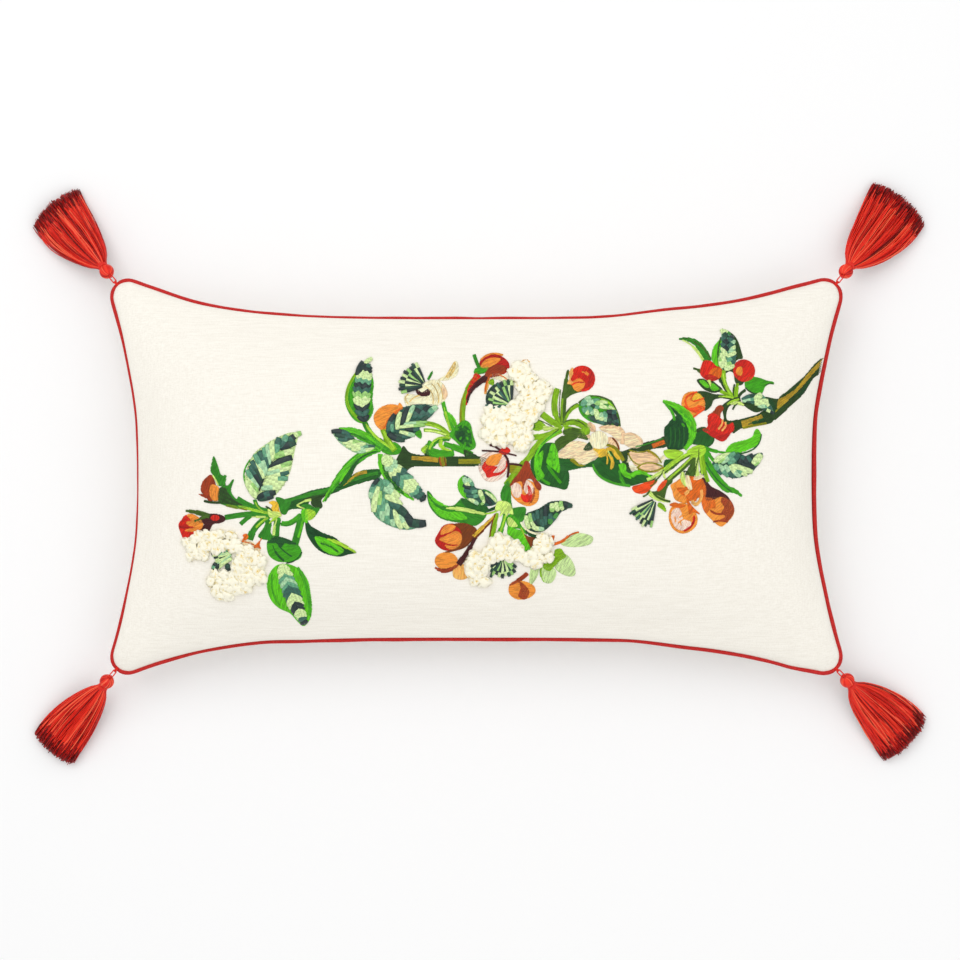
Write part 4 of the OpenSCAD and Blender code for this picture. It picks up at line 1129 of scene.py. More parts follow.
# Broad ribbon leaf below the hub
blob(RIBBON, "jade", [(-88, -1), (-93, -8), (-95, -20), (-93, -31), (-88, -38), (-78, -44), (-66, -47.5),
                      (-56, -47), (-46, -42), (-54, -39.5), (-60, -37), (-66, -27), (-72, -18), (-80, -8),
                      (-84, -3)], 60, 1)
for colours, line, width in [(("ink", "teal"), [(-87, -2), (-92, -6), (-94, -12)], 4),
        (("jade", "mint"), [(-84, -4), (-79, -6), (-75, -12)], 6),
        (("jade", "mint"), [(-90, -6), (-95, -14), (-94, -20)], 5.5),
        (("frost", "frost"), [(-88, -9), (-91, -20), (-92, -32)], 6),
        (("mint", "frost"), [(-83, -11), (-76, -12), (-69, -19)], 6.5),
        (("spring", "jade"), [(-86, -13), (-87, -24), (-87, -35)], 4.5),
        (("frost", "frost"), [(-82, -18), (-74, -19), (-67, -26)], 6),
        (("jade", "mint"), [(-83, -19), (-85, -30), (-84, -40)], 5.5),
        (("mint", "jade"), [(-80, -24), (-80, -34), (-79, -43)], 5.5),
        (("teal", "pine"), [(-79, -24), (-70, -26), (-62, -34)], 6.5),
        (("teal", "mint"), [(-77, -28), (-76, -38), (-74, -45)], 5),
        (("frost", "frost"), [(-75, -30), (-71, -38), (-67, -47)], 6),
        (("pine", "ink"), [(-71, -30), (-64, -33), (-58, -39)], 6),
        (("mint", "frost"), [(-70, -34), (-66, -40), (-61, -47)], 5),
        (("ink", "pine", "ink"), [(-66, -38), (-56, -44), (-45, -42)], 8)]:
    ribbon(RIBBON, colours, line, width, 1.5, layer=2)

# Two-tone leaf and the orange bud below the middle
blob(LEAF, "green", [(-44, -14), (-41, -15), (-36, -22), (-28, -26), (-20, -26), (-13, -20), (-5, -22),
                     (5, -26), (9, -35), (0, -44), (-10, -42), (-24, -40), (-34, -36), (-42, -26)], -20, 1)
blob(LEAF, "bright", [(-43.5, -18), (-36, -27), (-26, -31.5), (-15, -32), (-8, -38), (-20, -39), (-32, -36),
                      (-40, -27)], -30, 2)
strip(LEAF, "bright", (-42, -16), (-37, -24), (-26, -27), 1, 1, 1.5, layer=2)
strip(LEAF, "pale", (-27, -28.5), (-14, -28), (8, -34), 0.8, 1.5, 2.2, layer=3)
blob(ORANGE, "crimson", [(-20, -42.5), (-29, -44), (-34, -51), (-37, -58), (-33, -64), (-26, -66.5),
                         (-16, -63), (-12, -55), (-14, -47)], 60, 1)
blob(ORANGE, "orange", [(-32, -52), (-30, -46), (-25, -43), (-18.5, -44.5), (-21, -48.5), (-27, -51)], 40, 2)
blob(ORANGE, "orange", [(-33, -56), (-25, -52), (-18, -49), (-13, -53), (-14, -60), (-22, -61),
                        (-30, -58.5)], 20, 2)
blob(ORANGE, "orange", [(-28, -61.5), (-21, -62.5), (-14, -61), (-19, -65), (-25, -65)], 10, 2)
blob(CALYX, "brown", [(-20, -43), (-10, -42), (0, -47), (-2, -54), (-9, -63), (-20, -67), (-28, -68),
                      (-16, -62), (-13, -54), (-15, -47)], 50, 2)
strip(CALYX, "maroon", (-1, -55), (-6, -66), (-16, -79), 2.5, 5, layer=3)

# Curled leaf over the branch
strip(LEAF, "leaf", (-20, 21), (-50, 17), (-40, 31), 5, 5, 3, layer=2)
strip(LEAF, "green", (-24, 33), (-36, 36), (-41, 25), 3, 3, 1, layer=2)
strip(LEAF, "lime", (-23, 34), (-38, 38), (-42, 24), 1.5, 1.5, 0.5, layer=3)
strip(LEAF, "lime", (-31, 33), (-36, 25), (-22, 23), 2.5, 1, 1.5, layer=3)
blob(LEAF, "lime", [(-49.5, 24), (-45, 28), (-43, 27), (-46, 20.5)], 40, 2)
blob(LEAF, "bark", [(-46.5, 20), (-43.5, 26), (-42.5, 18.5)], 80, 2)

# Orange bud, ribbon leaf, tuft and pale flower above the left of the branch
blob(ORANGE, "orange", [(-84, 41), (-90, 46), (-92, 54), (-87, 61), (-79, 64.5), (-71, 64), (-66, 61),
                        (-72, 57), (-78, 50), (-80, 43)], 20, 1)
blob(ORANGE, "orange", [(-69, 66), (-66, 62), (-70, 61)], 60, 2)
strip(ORANGE, "amber", (-84, 41.5), (-75, 57), (-66, 62), 1, 1, 2, layer=2)
blob(RIBBON, "teal", [(-81, 40), (-79, 49), (-73, 57), (-64, 62.5), (-52, 64.5), (-36, 64), (-40, 56),
                      (-47, 48), (-52, 42), (-58, 35), (-68, 32.5), (-76, 35)], 30, 1)
for colours, line, width in [(("teal", "ink"), [(-79, 40), (-79, 48), (-73, 56)], 5),
        (("jade", "teal"), [(-75, 40), (-77, 46), (-74, 52)], 4),
        (("frost", "frost"), [(-71, 42), (-71, 50), (-68, 58)], 4.6),
        (("ink", "ink"), [(-67, 46), (-64, 55), (-61, 62)], 5.5),
        (("frost", "mint"), [(-63, 48), (-60, 56), (-56, 64)], 4.6),
        (("teal", "ink", "teal"), [(-57, 52), (-52, 58), (-49, 64)], 6),
        (("teal", "ink"), [(-52, 52), (-47, 58), (-43, 63)], 6),
        (("teal", "jade", "mint"), [(-47, 53), (-42, 58), (-35, 63)], 5.5),
        (("pine", "teal"), [(-50, 50), (-44, 53), (-39, 58)], 4),
        (("ink", "pine"), [(-79, 39), (-74, 33), (-64, 33)], 6),
        (("pine", "teal"), [(-74, 38), (-68, 35), (-60, 37)], 4.5),
        (("frost", "mint"), [(-69, 40), (-62, 38), (-55, 37)], 4.2),
        (("ink", "teal"), [(-64, 43), (-57, 41), (-51, 43)], 4),
        (("frost", "spring"), [(-70, 44), (-58, 46), (-46, 46)], 3.6),
        (("mint", "spring"), [(-66, 47), (-56, 48), (-44, 49)], 3.2)]:
    ribbon(RIBBON, colours, line, width, 1.6, layer=2)
blob(LEAF, "leaf", [(-55, 38), (-50, 34), (-49, 38), (-51, 42)], 0, 2)
oval(PETAL, "cream", (-38.5, 75), 12, 12, 0, 70, 1)
blob(PETAL, "shell", [(-30, 83), (-27, 78), (-26, 73), (-29, 69), (-31, 74), (-31, 79)], 80, 2)
for a, c, b in [((-46, 81), (-37, 76), (-39, 65)), ((-40, 83), (-33, 77), (-34, 66)),
                ((-35, 84), (-30, 78), (-30, 69))]:
    strip(PETAL, "sand", a, c, b, 0.8, 0.8, layer=3)
blob(PETAL, "cream", [(-65, 70), (-62, 74), (-54, 73), (-42, 71), (-36, 67), (-44, 65), (-55, 65),
                      (-62, 63)], 10, 1)
strip(PETAL, "sand", (-61, 74), (-67, 70), (-61, 65), 1, 1, layer=2)
strip(PETAL, "sand", (-60, 67), (-56, 72), (-50, 73), 0.9, 0.9, layer=2)
blob(PETAL, "cream", [(-40, 84), (-33, 86), (-25, 87), (-18, 91), (-16, 98), (-18, 104), (-21, 101),
                      (-26, 93), (-32, 88.5)], 50, 1)
blob(PETAL, "sand", [(-28, 89), (-23, 90), (-19, 97), (-19, 104), (-23, 98)], 60, 2)
blob(PETAL, "cream", [(-54, 77), (-48, 82), (-41, 84), (-42, 77), (-47, 75)], 20, 2)
blob(CALYX, "maroon", [(-54.5, 78), (-53, 74), (-49, 72), (-43, 72.5), (-41.5, 75), (-43.5, 78.5), (-46, 77),
                       (-49, 75.5), (-52, 77.5)], 0, 3)
strip(LEAF, "green", (-43.5, 87), (-41, 91), (-39.5, 95), 2, 1.2, layer=2)
ribbon_fan(TUFT, ["ink", "frost", "pine", "ink", "spring", "ink", "frost"], (-46, 82), (-67, 92), 84, 11)

# Middle stems and the mottled leaf
strip(STEM, "fresh", (-46, 48), (-33, 48), (-24, 37), 3, 3, layer=1)
strip(STEM, "lime", (-46, 46.5), (-34, 46), (-24, 36.5), 1.8, 1.6, layer=2)
strip(STEM, "fresh", (-47, 41.5), (-36, 42), (-24, 36), 3, 3, layer=1)
strip(STEM, "pale", (-46, 41), (-36, 41), (-27, 37), 1.5, 1.3, layer=2)
strip(STEM, "leaf", (-30, 67), (-27, 53), (-21, 42), 3.6, 4.5, layer=1)
strip(STEM, "lime", (-29, 62), (-26, 50), (-23, 41), 1.2, 2, layer=2)
strip(LEAF, "bright", (-27, 58), (-22, 52), (-18, 45), 1.5, 2, 3, layer=1)
blob(LEAF, "leaf", [(-24, 37), (-21, 42), (-16, 47), (-12, 50), (-8, 49.5), (-5, 46), (-3, 37), (-0.5, 29),
                    (-2, 25), (-6, 23.5), (-12, 25), (-18, 31)], 70, 2)
blob(LEAF, "dark", [(-19, 40), (-13, 46), (-6, 42), (-4, 32), (-6, 26), (-12, 29), (-18, 34)], 60, 3)
blob(LEAF, "deep", [(-17, 39), (-12, 41), (-10, 36), (-13, 31), (-18, 35)], 40, 4)
for x, y in [(-12, 45), (-7, 40), (-8, 34), (-14, 34), (-5, 28), (-17, 42), (-10, 29)]:
    oval(LEAF, "leaf", (x, y), 1.5, 0.9, x * 9, 90, 5)
strip(STEM, "leaf", (-29, 29), (-14, 25), (-4, 19), 4, 5, 1, layer=1)
blob(BRANCH, "bark", [(-11, 24), (-4, 21), (3, 16.5), (-9, 17)], -20, 2)

# Red bud on the tall stem
strip(STEM, "fresh", (2, 90), (-14, 76), (-12.5, 48), 6, 4.4, layer=1)
strip(STEM, "olive", (-10, 76), (-15, 65), (-14, 49), 0.9, 1.6, layer=2)
strip(RED, "red", (2, 92), (-8, 80), (-9, 64), 6, 1, layer=2)
strip(CALYX, "maroon", (-8, 66), (-8, 80), (10, 89), 1.4, 6, layer=3)
blob(RED, "crimson", [(3, 101), (6, 108), (13, 111), (22, 109), (29, 103), (29, 96), (22, 91), (15, 91),
                      (10, 95)], 15, 1)
strip(RED, "orange", (4, 105), (12, 114), (24, 109.5), 1.6, 1.4, layer=2)
blob(RED, "orange", [(4, 98), (7, 104), (14, 107), (22, 106), (17, 101), (11, 98)], 20, 2)
blob(RED, "rust", [(8, 90), (10, 96), (16, 100), (24, 100), (27, 96), (22, 91), (15, 89)], 30, 3)
blob(LEAF, "leaf", [(-2, 93), (-1, 97), (3, 98), (11, 98.5), (9, 94), (2, 92)], 10, 2)
strip(LEAF, "green", (-2, 110), (0, 103), (3, 97), 2.6, 3, layer=2)

# Red bud on the branch
blob(PETAL, "blush", [(3, 16), (7, 20), (15, 22), (24, 19), (28, 12), (26, 2), (18, -4), (9, -4), (4, 2),
                      (2, 9)], 40, 1)
blob(RED, "red", [(5, 8), (9, 14), (14, 10), (20, 9), (24, 14), (27, 14), (27.5, 8), (22, 2), (15, 0),
                  (10, -1), (8, 3)], 40, 2)
blob(RED, "orange", [(8.5, 13), (12, 18), (18, 20), (23, 20), (21, 14), (18, 10), (11, 10)], 50, 3)
blob(PETAL, "blush", [(15, 3.5), (19, 8), (24, 15), (26.5, 15), (26, 8), (21, 4)], 50, 3)
blob(RED, "red", [(20, 22), (26, 26.5), (30.5, 23), (26, 19.5)], 10, 3)
strip(CALYX, "maroon", (5, 23), (12, 23), (22, 22), 1.4, 1.4, layer=3)
strip(CALYX, "maroon", (12, 28), (17, 28), (24, 21), 1.2, 1.6, layer=3)
strip(CALYX, "maroon", (25, 20), (31, 15), (28, -1), 1.2, 1.8, layer=3)
strip(CALYX, "maroon", (24, 21), (31, 20), (36, 18.5), 1.2, 1.2, layer=3)
strip(CALYX, "maroon", (28, 11), (35, 11.5), (41, 9.5), 1.6, 1.6, layer=3)
blob(BRANCH, "olive", [(28, 11), (40, 10), (41, 4), (30, 3)], 0, 1)

# Rust and white bud under the branch
strip(STEM, "fresh", (52, 22), (42, 12), (27, -8), 5, 6, layer=1)
blob(LEAF, "green", [(28, -4), (23, -12), (22, -19), (26, -26), (32, -30), (31, -20), (31, -10)], 70, 2)
blob(ORANGE, "orange", [(31, -8), (32, -17), (39, -24), (48, -26.5), (55, -22), (56, -12), (52, -6),
                        (40, -2)], 0, 1)
blob(PETAL, "blush", [(31, -8), (35, -5.5), (39.5, -8), (41, -14), (38, -19), (33, -17)], 80, 2)
blob(PETAL, "blush", [(44, -3), (49, -6), (52, -12), (48, -17), (43.5, -14), (42, -8)], 80, 2)
blob(RED, "red", [(40, -16), (44, -17), (46.5, -14), (46, -8), (49, -11), (50, -18), (47, -23), (42, -22)],
     80, 3)
blob(CALYX, "rust", [(44.5, 14), (47.5, 12), (49, 6), (53, -2), (58, -8), (57, -12.5), (53.5, -10), (50, -3),
                     (45, -3), (42, -12), (41, -5), (36, -5), (30, -9), (33, -3), (38, 3), (42, 10)], 70, 3)
strip(ORANGE, "rust", (51, -10), (54, -18), (47, -25), 1.6, 1, layer=2)

# Hub below the branch: cream star, stems and leaves
blob(LEAF, "dark", [(-14, -20), (-4, -22), (8, -26), (10, -31), (-6, -30)], -15, 2)
strip(LEAF, "deep", (8, -31), (16, -30), (23, -24), 2.4, 2.4, layer=2)
strip(LEAF, "lime", (8, -33.5), (17, -33), (24, -27), 1.4, 1.4, layer=2)
blob(LEAF, "green", [(33, -28.5), (44, -28), (43, -37), (40, -41), (36, -38), (30, -31)], 60, 1)
blob(LEAF, "leaf", [(30, -34), (38, -38), (44, -48), (45, -52), (39, -47), (30, -46), (27, -40)], 60, 1)
blob(LEAF, "bright", [(29, -44), (35, -47), (41, -49), (45, -56), (49, -66), (39, -65.5), (37, -59),
                      (30, -53), (28, -51)], 60, 2)
blob(PETAL, "pale", [(19, -23), (25, -22), (30, -24), (32, -28), (33, -34), (29, -33), (27, -36), (25, -33),
                     (21, -36), (22, -31), (17, -30)], 60, 3)
blob(PETAL, "pale", [(28, -38), (31, -37), (37, -44), (33, -45.5), (29, -44)], 60, 3)
strip(STEM, "brown", (-4, -56), (6, -47), (18, -34), 6, 2, layer=1)
strip(STEM, "gold", (-3, -54), (6, -45), (17, -35), 3, 1.8, layer=2)
strip(STEM, "fresh", (14, -56), (16, -42), (19, -33), 5.6, 2.5, layer=2)
strip(STEM, "brown", (12.2, -55), (13, -43), (17, -34), 1, 0.8, layer=3)
strip(STEM, "leaf", (20, -53), (24, -45), (26, -34), 4.6, 3, layer=2)
strip(STEM, "lime", (21, -51), (24, -44), (26, -35), 1.8, 1.4, layer=3)
strip(PETAL, "cream", (40, -41), (44, -51), (58, -52), 1.8, 1.8, layer=2)
strip(LEAF, "deep", (44, -48), (49, -55), (58, -54), 1, 2.2, 1, layer=2)
blob(CALYX, "brown", [(43, -52), (47, -54), (54, -56), (50, -64), (47, -60)], 60, 3)
strip(CALYX, "lime", (40, -46), (42, -50), (44, -55), 1.4, 1.4, layer=3)

# Small ribbon leaf left of the hub
blob(LEAF, "bright", [(-11, 1), (-16, -4), (-16, -12), (-11, -19), (-6, -19), (-10, -12), (-11, -4)], 80, 1)
blob(RIBBON, "teal", [(-11, 1), (-3, -5), (-1, -10), (6, -12), (13, -16), (18, -22), (15, -26), (5, -26),
                      (-8, -19), (-12, -10)], -40, 1)
for colours, line, width in [(("mint", "frost"), [(-11, -0.5), (-10, -5), (-6, -9)], 5),
        (("mint", "jade"), [(-8, -2), (-5, -4), (-3, -9)], 4),
        (("ink", "teal"), [(-12, -8), (-6, -11), (0, -12)], 3.5),
        (("teal", "jade"), [(-11, -12), (-5, -15), (1, -13)], 4.5),
        (("teal", "jade"), [(-9, -17), (-3, -19), (2, -17)], 4),
        (("frost", "mint"), [(-7, -20), (-2, -22), (2, -25)], 3.8),
        (("frost", "spring"), [(3, -12), (4, -17), (7, -22)], 4.5),
        (("ink", "ink"), [(9, -18), (10, -23), (14, -25)], 4),
        (("frost", "frost"), [(8, -14), (14, -17), (18, -23)], 3),
        (("grass", "spring"), [(6, -12), (13, -13), (18, -21)], 1.6),
        (("frost", "spring"), [(6, -20), (8, -24), (4, -25)], 3)]:
    ribbon(RIBBON, colours, line, width, 1.7, layer=2)

# Ribbon leaf right of the hub
blob(RIBBON, "pine", [(43, -37), (46, -33), (56, -29), (66, -23), (76, -22), (82, -23), (86.5, -26),
                      (82, -29), (76, -32), (70, -40), (62, -48), (54, -50), (46, -47)], 20, 1)
for colours, line, width in [(("frost", "frost"), [(45, -35), (44, -41), (48, -47)], 4.4),
        (("spring", "frost"), [(48, -33), (48, -40), (53, -46)], 4),
        (("frost", "mint"), [(50, -45), (55, -48), (61, -47)], 4.4),
        (("teal", "ink"), [(51, -33), (51, -40), (55, -43)], 4),
        (("teal", "pine"), [(55, -30), (54, -37), (57, -44)], 4.4),
        (("pine", "teal"), [(59, -29), (57, -37), (60, -46)], 4.4),
        (("ink", "teal"), [(63, -26), (61, -34), (62, -44)], 4.6),
        (("teal", "grass"), [(66, -33), (67, -37), (66, -43)], 5),
        (("frost", "spring"), [(68, -24), (68, -28), (68, -32)], 5),
        (("frost", "frost"), [(72, -23), (71, -28), (74, -31)], 4.6),
        (("spring", "frost"), [(76, -22), (75, -27), (78, -30)], 4.2),
        (("grass", "teal"), [(73, -33), (70, -37), (68, -40)], 4),
        (("ink", "pine"), [(78, -24), (81, -27), (86, -26)], 5)]:
    ribbon(RIBBON, colours, line, width, 1.7, layer=2)

# Flower below the hub
ruffles(BLOSSOM, [(10, -58), (18, -53), (27, -53), (35, -57), (38, -65), (46, -67), (54, -59), (60, -54),
                  (66, -56), (64, -62), (67, -70), (60, -77), (50, -81), (40, -78), (30, -76), (22, -73),
                  (14, -74), (10, -70)])
ruffles(BLOSSOM, [(-6, -76), (-1, -70), (8, -68), (14, -72), (13, -80), (9, -88), (8, -95), (0, -98),
                  (-7, -93), (-9, -85)])
blob(PETAL, "apricot", [(-18, -79), (-12, -79), (-8, -84), (-8, -91), (-14, -93), (-20, -91), (-21, -85)],
     80, 1)
strip(LEAF, "olive", (-11, -77), (-5, -71), (-2, -74), 1.2, 2.6, layer=2)
ribbon_fan(TUFT, ["ink", "frost", "pine", "spring", "ink", "frost"], (24, -73), (22, -91), 92, 10)
for colours, line in [(("ink", "pine"), [(23, -73), (17, -80), (13, -91)]),
                      (("spring", "ink"), [(27, -77), (33, -79), (36, -82)]),
                      (("ink", "frost"), [(26, -76), (31, -83), (35, -85)])]:
    ribbon(TUFT, colours, line, 3.2, 2.2, layer=2)
blob(PETAL, "cream", [(60, -64), (68, -68), (69, -72), (62, -77), (58, -72)], 30, 1)
blob(PETAL, "celery", [(76, -60), (83, -55), (92, -51), (104, -54), (103, -60), (94, -63), (82, -63)], 30, 1)
blob(PETAL, "celery", [(78, -70), (83, -72), (88, -80), (89, -88), (84, -90), (76, -87), (71, -82),
                       (74, -77)], 60, 1)
blob(PETAL, "celery", [(60, -80), (58, -88), (61, -95), (67, -96), (71, -91), (71, -84)], 70, 1)
blob(PETAL, "celery", [(50, -81), (56, -81), (55, -90), (49, -98), (48, -90)], 80, 0)
blob(PETAL, "fresh", [(60, -79), (65, -76), (70, -70), (71, -66), (76, -65), (79, -69), (81, -72), (76, -75),
                      (71, -80), (66, -85), (61, -83)], 30, 2)
strip(PETAL, "fresh", (59, -80), (56, -88), (61, -95), 1.6, 0.8, layer=2)
strip(CALYX, "amber", (62, -62), (80, -60), (82, -53), 2.4, 1.6, layer=2)
strip(CALYX, "amber", (81, -56), (84, -51), (92, -50), 1.2, 0.8, layer=2)
strip(CALYX, "amber", (64, -61), (69, -59), (69, -53), 1.2, 2.6, layer=2)
blob(ORANGE, "orange", [(30, -98), (36, -94), (45, -95), (52, -99), (53, -105), (47, -110), (37, -111),
                        (30, -106)], 0, 1)
strip(CALYX, "rust", (30, -98), (42, -92), (46, -87), 1.2, 3, 1.5, layer=2)
blob(ORANGE, "rust", [(39, -95), (43, -97), (48, -104), (44, -111), (38, -108), (40, -101)], 70, 2)

# Lower left orange bud
blob(ORANGE, "orange", [(-36, -72), (-30, -68.5), (-22, -69), (-17, -74), (-18, -80), (-24, -83), (-32, -83),
                        (-37, -78)], 0, 1)
strip(ORANGE, "rust", (-37, -82), (-28, -89), (-16, -79), 1.2, 1.6, 2.5, layer=2)

# Right of the middle: second hub
strip(STEM, "fresh", (44, 10), (50, 30), (76, 42), 2, 6, 1.5, layer=1)
strip(STEM, "bark", (58, 28), (66, 36), (74, 42), 0.8, 1, layer=2)
blob(LEAF, "dark", [(52, 20), (56, 26), (64, 30), (72, 28), (75, 14), (83, 3), (81, -11), (72, -10),
                    (60, -7), (52, 0), (49, 8), (49, 14)], 70, 1)
strip(LEAF, "bright", (76, 41), (44, 26), (56, -4), 1.5, 2, 0.5, layer=2)
blob(LEAF, "bright", [(53, 16), (56, 20), (60, 23), (59, 15), (58, 7), (61, 1), (58, -3), (54, 2), (52, 9)],
     80, 3)
blob(LEAF, "bright", [(63, 15), (65, 21), (67, 28), (70, 29), (73, 21), (74, 14), (75, 7), (74, 3), (70, 6),
                      (66, 9), (63, 12)], 80, 3)
strip(LEAF, "leaf", (64, 10), (67, 4), (76, -6), 2, 2.6, layer=3)
strip(LEAF, "leaf", (55, 2), (58, -3), (66, -7), 2.4, 2, layer=3)
for x, y in [(56, 16), (57, 9), (67, 22), (70, 15), (69, 10), (72, 6), (66, 16), (55, 4)]:
    oval(LEAF, "leaf", (x, y), 1.3, 0.8, x * 11, 90, 4)
strip(STEM, "fresh", (49, 34.5), (62, 36), (76, 42), 5, 3, layer=1)
strip(LEAF, "fresh", (59, 56), (66, 50), (77, 43), 5.4, 3.5, 1, layer=1)
blob(LEAF, "fresh", [(47, 48), (51, 48), (56, 50), (61, 47), (62, 44), (56, 41), (51, 42)], 20, 1)
strip(LEAF, "moss", (47, 50), (54, 48), (52, 43), 1, 1, layer=2)
blob(LEAF, "pale", [(60, 45), (66, 44.5), (74, 43.5), (68, 42), (61, 41)], 0, 2)
strip(LEAF, "moss", (52, 52), (64, 48), (70, 43), 0.8, 0.8, layer=2)
strip(LEAF, "fresh", (73, 79), (66, 58), (76, 47), 4.6, 3, 1.4, layer=1)
strip(LEAF, "moss", (76, 78), (73, 60), (76, 48), 0.8, 0.8, layer=2)
strip(STEM, "moss", (83, 96), (78, 78), (78, 46), 1.5, 4.4, 1, layer=1)
blob(CALYX, "moss", [(80, 82), (83, 84), (88, 81), (95, 77), (90, 75), (85, 73), (81, 70), (78, 70)], 60, 1)
strip(STEM, "fresh", (77.5, 70), (76, 58), (77, 47), 1.4, 2, layer=2)
strip(STEM, "fresh", (92, 64), (81, 60), (78, 46), 2.6, 3, layer=1)
strip(STEM, "moss", (91, 65.5), (80, 61), (77.5, 48), 0.9, 0.9, layer=2)
strip(STEM, "fresh", (78, 45), (88, 54), (101, 42), 3, 6.5, 1, layer=1)
strip(STEM, "moss", (78, 48), (90, 55), (100, 43), 1.1, 1.1, layer=2)
strip(STEM, "fresh", (79, 43.5), (90, 42), (99, 39), 4, 4, layer=1)
blob(LEAF, "fresh", [(95, 43), (99, 45), (102, 42), (101, 38), (97, 37), (94, 39)], 70, 2)
strip(LEAF, "moss", (78, 41), (86, 40), (95, 37), 1, 2, 1, layer=2)
strip(LEAF, "moss", (78, 39), (90, 42), (100, 33), 3, 1.2, 6, layer=2)
strip(LEAF, "moss", (71, 21), (72, 34), (90, 35), 3, 2, 8, side=(-1, 0.8), layer=2)

# Red bud above the second hub
oval(RED, "red", (95.5, 88), 11.5, 11.8, 0, 60, 2)
blob(RED, "crimson", [(99, 79), (105, 84), (106, 91), (102, 97), (101, 90), (98, 84)], 70, 3)
blob(ORANGE, "apricot", [(82, 83), (84, 88), (84, 94), (87, 98), (87, 92), (85, 87), (87, 84)], 80, 3)
blob(ORANGE, "orange", [(84, 83), (88, 86), (93, 88), (97, 85), (98, 83), (96, 79), (92, 76), (88, 78),
                        (86, 82)], 30, 3)
strip(ORANGE, "orange", (95, 94), (99, 94), (101, 91), 1.4, 2.6, layer=3)
strip(RED, "red", (86, 82), (91, 86), (97, 84), 0.9, 0.9, layer=4)
oval(RED, "red", (47.5, 87), 1.4, 2.4, 0, 90, 2)

# Ribbon leaf with a thread rim
blob(LEAF, "leaf", [(92, 64), (98, 71), (104, 73), (113, 70), (121, 67), (127, 58), (129, 46), (121, 44.5),
                    (111, 47), (101, 50), (94, 56)], 20, 1)
strip(LEAF, "moss", (92, 66), (104, 78), (122, 67), 1.2, 1.2, layer=2)
strip(LEAF, "moss", (121, 68), (128, 58), (129, 45), 1.3, 1.3, layer=2)
strip(LEAF, "lime", (112, 69), (120, 68), (126, 57), 1.4, 2, layer=2)
ribbon(RIBBON, ["pine", "teal", "pine"], [(100, 54), (110, 50), (122, 47)], 6, 0.7, layer=1)
for colours, line, width in [(("jade", "mint"), [(95, 63), (97, 68), (103, 71)], 5.5),
        (("mint", "jade"), [(99, 64), (104, 68), (111, 68)], 5),
        (("spring", "frost"), [(103, 66), (110, 66), (118, 66)], 5),
        (("jade", "frost"), [(96, 62), (98, 58), (102, 57)], 5.5),
        (("jade", "mint"), [(100, 63), (103, 58), (106, 56)], 5),
        (("pine", "jade"), [(102, 67), (106, 62), (111, 62)], 4),
        (("frost", "frost"), [(106, 61), (109, 56), (109, 51)], 5),
        (("frost", "spring"), [(110, 63), (116, 63), (123, 61)], 4.6),
        (("grass", "frost"), [(112, 65), (118, 64), (124, 60)], 3),
        (("mint", "frost"), [(111, 57), (113, 54), (112, 50)], 5.4),
        (("jade", "mint"), [(114, 58), (117, 54), (116, 49)], 4.8),
        (("ink", "teal"), [(117, 59), (121, 57), (126, 58)], 5),
        (("ink", "pine", "ink"), [(119, 56), (119, 51), (121, 47)], 5.5),
        (("ink", "teal"), [(123, 57), (124, 51), (127, 46)], 5.6),
        (("pine", "ink"), [(121, 51), (124, 48), (128, 46)], 4)]:
    ribbon(RIBBON, colours, line, width, 1.7, layer=2)

# Pale petals in the middle right
blob(PETAL, "peach", [(71, 18), (77, 24), (83, 30), (90, 31.5), (98, 30), (104, 25), (110, 19), (105, 15),
                      (98, 11), (92, 12), (86, 16), (79, 16)], 15, 2)
strip(PETAL, "shell", (101, 48), (104, 42), (107, 42), 3, 3, 3, layer=1)
strip(PETAL, "shell", (91, 37), (97, 34), (102, 36), 3, 3.5, layer=1)
blob(PETAL, "peach", [(111, 43), (118, 45), (127, 44), (132, 40), (133, 34), (130, 30), (126, 33), (120, 38),
                      (113, 41)], 0, 1)
blob(PETAL, "shell", [(110, 44), (118, 46), (128, 45), (133, 40), (133, 35), (130, 40), (124, 43),
                      (116, 43)], 10, 2)
oval(PETAL, "peach", (140, 32), 10, 6.4, -18, 30, 1)
strip(PETAL, "shell", (132, 37), (142, 42), (149, 30), 1.8, 1.6, layer=2)
strip(PETAL, "shell", (131, 29), (132, 36), (131, 39), 3.6, 2, layer=2)
blob(PETAL, "shell", [(119, 35), (124, 34), (128, 29), (127, 26), (121, 28), (118, 31)], 60, 1)
strip(CALYX, "brown", (122, 34.5), (127, 30.5), (128, 24), 1.1, 1.4, layer=3)
blob(PETAL, "gold", [(105, 25), (112, 25), (118, 24), (117, 20), (112, 17), (107, 19)], 40, 2)
oval(PETAL, "cream", (109.8, 32.5), 8.3, 8, 0, 90, 3)
blob(LEAF, "bark", [(96, 24), (99, 28.5), (102, 30.5), (104, 25), (100, 23)], 45, 3)

# Branch under them, and the big striped leaf
blob(BRANCH, "dark", [(74, 16), (84, 16), (91, 10), (96, 9.5), (105, 14), (112, 16), (108, 9), (96, 8),
                      (86, 6), (76, 5)], 0, 1)
blob(BRANCH, "olive", [(84, 14.5), (87, 17), (89, 15), (92, 11), (98, 10), (92, 9), (87, 12)], 0, 2)
blob(LEAF, "dark", [(105, 12), (109, 17), (115, 22), (121, 24), (127, 21), (129, 12), (134, 8), (143, 3),
                    (152, 2), (161, 0), (158, -4), (148, -6), (138, -8.5), (128, -8), (118, -5), (110, 0),
                    (106, 6)], -30, 1)
strip(LEAF, "leaf", (104.5, 11), (108, -6), (138, -8.5), 1.4, 1.6, 0.6, layer=2)
strip(LEAF, "leaf", (128, 6), (129, -2), (133, -8), 1, 3, 0.5, layer=2)
strip(LEAF, "bright", (129, 11), (131, 1), (139, 0), 3, 4, 1, layer=3)
strip(LEAF, "bright", (139, 0), (146, 8), (157, -1), 4, 1, 1.2, layer=3)
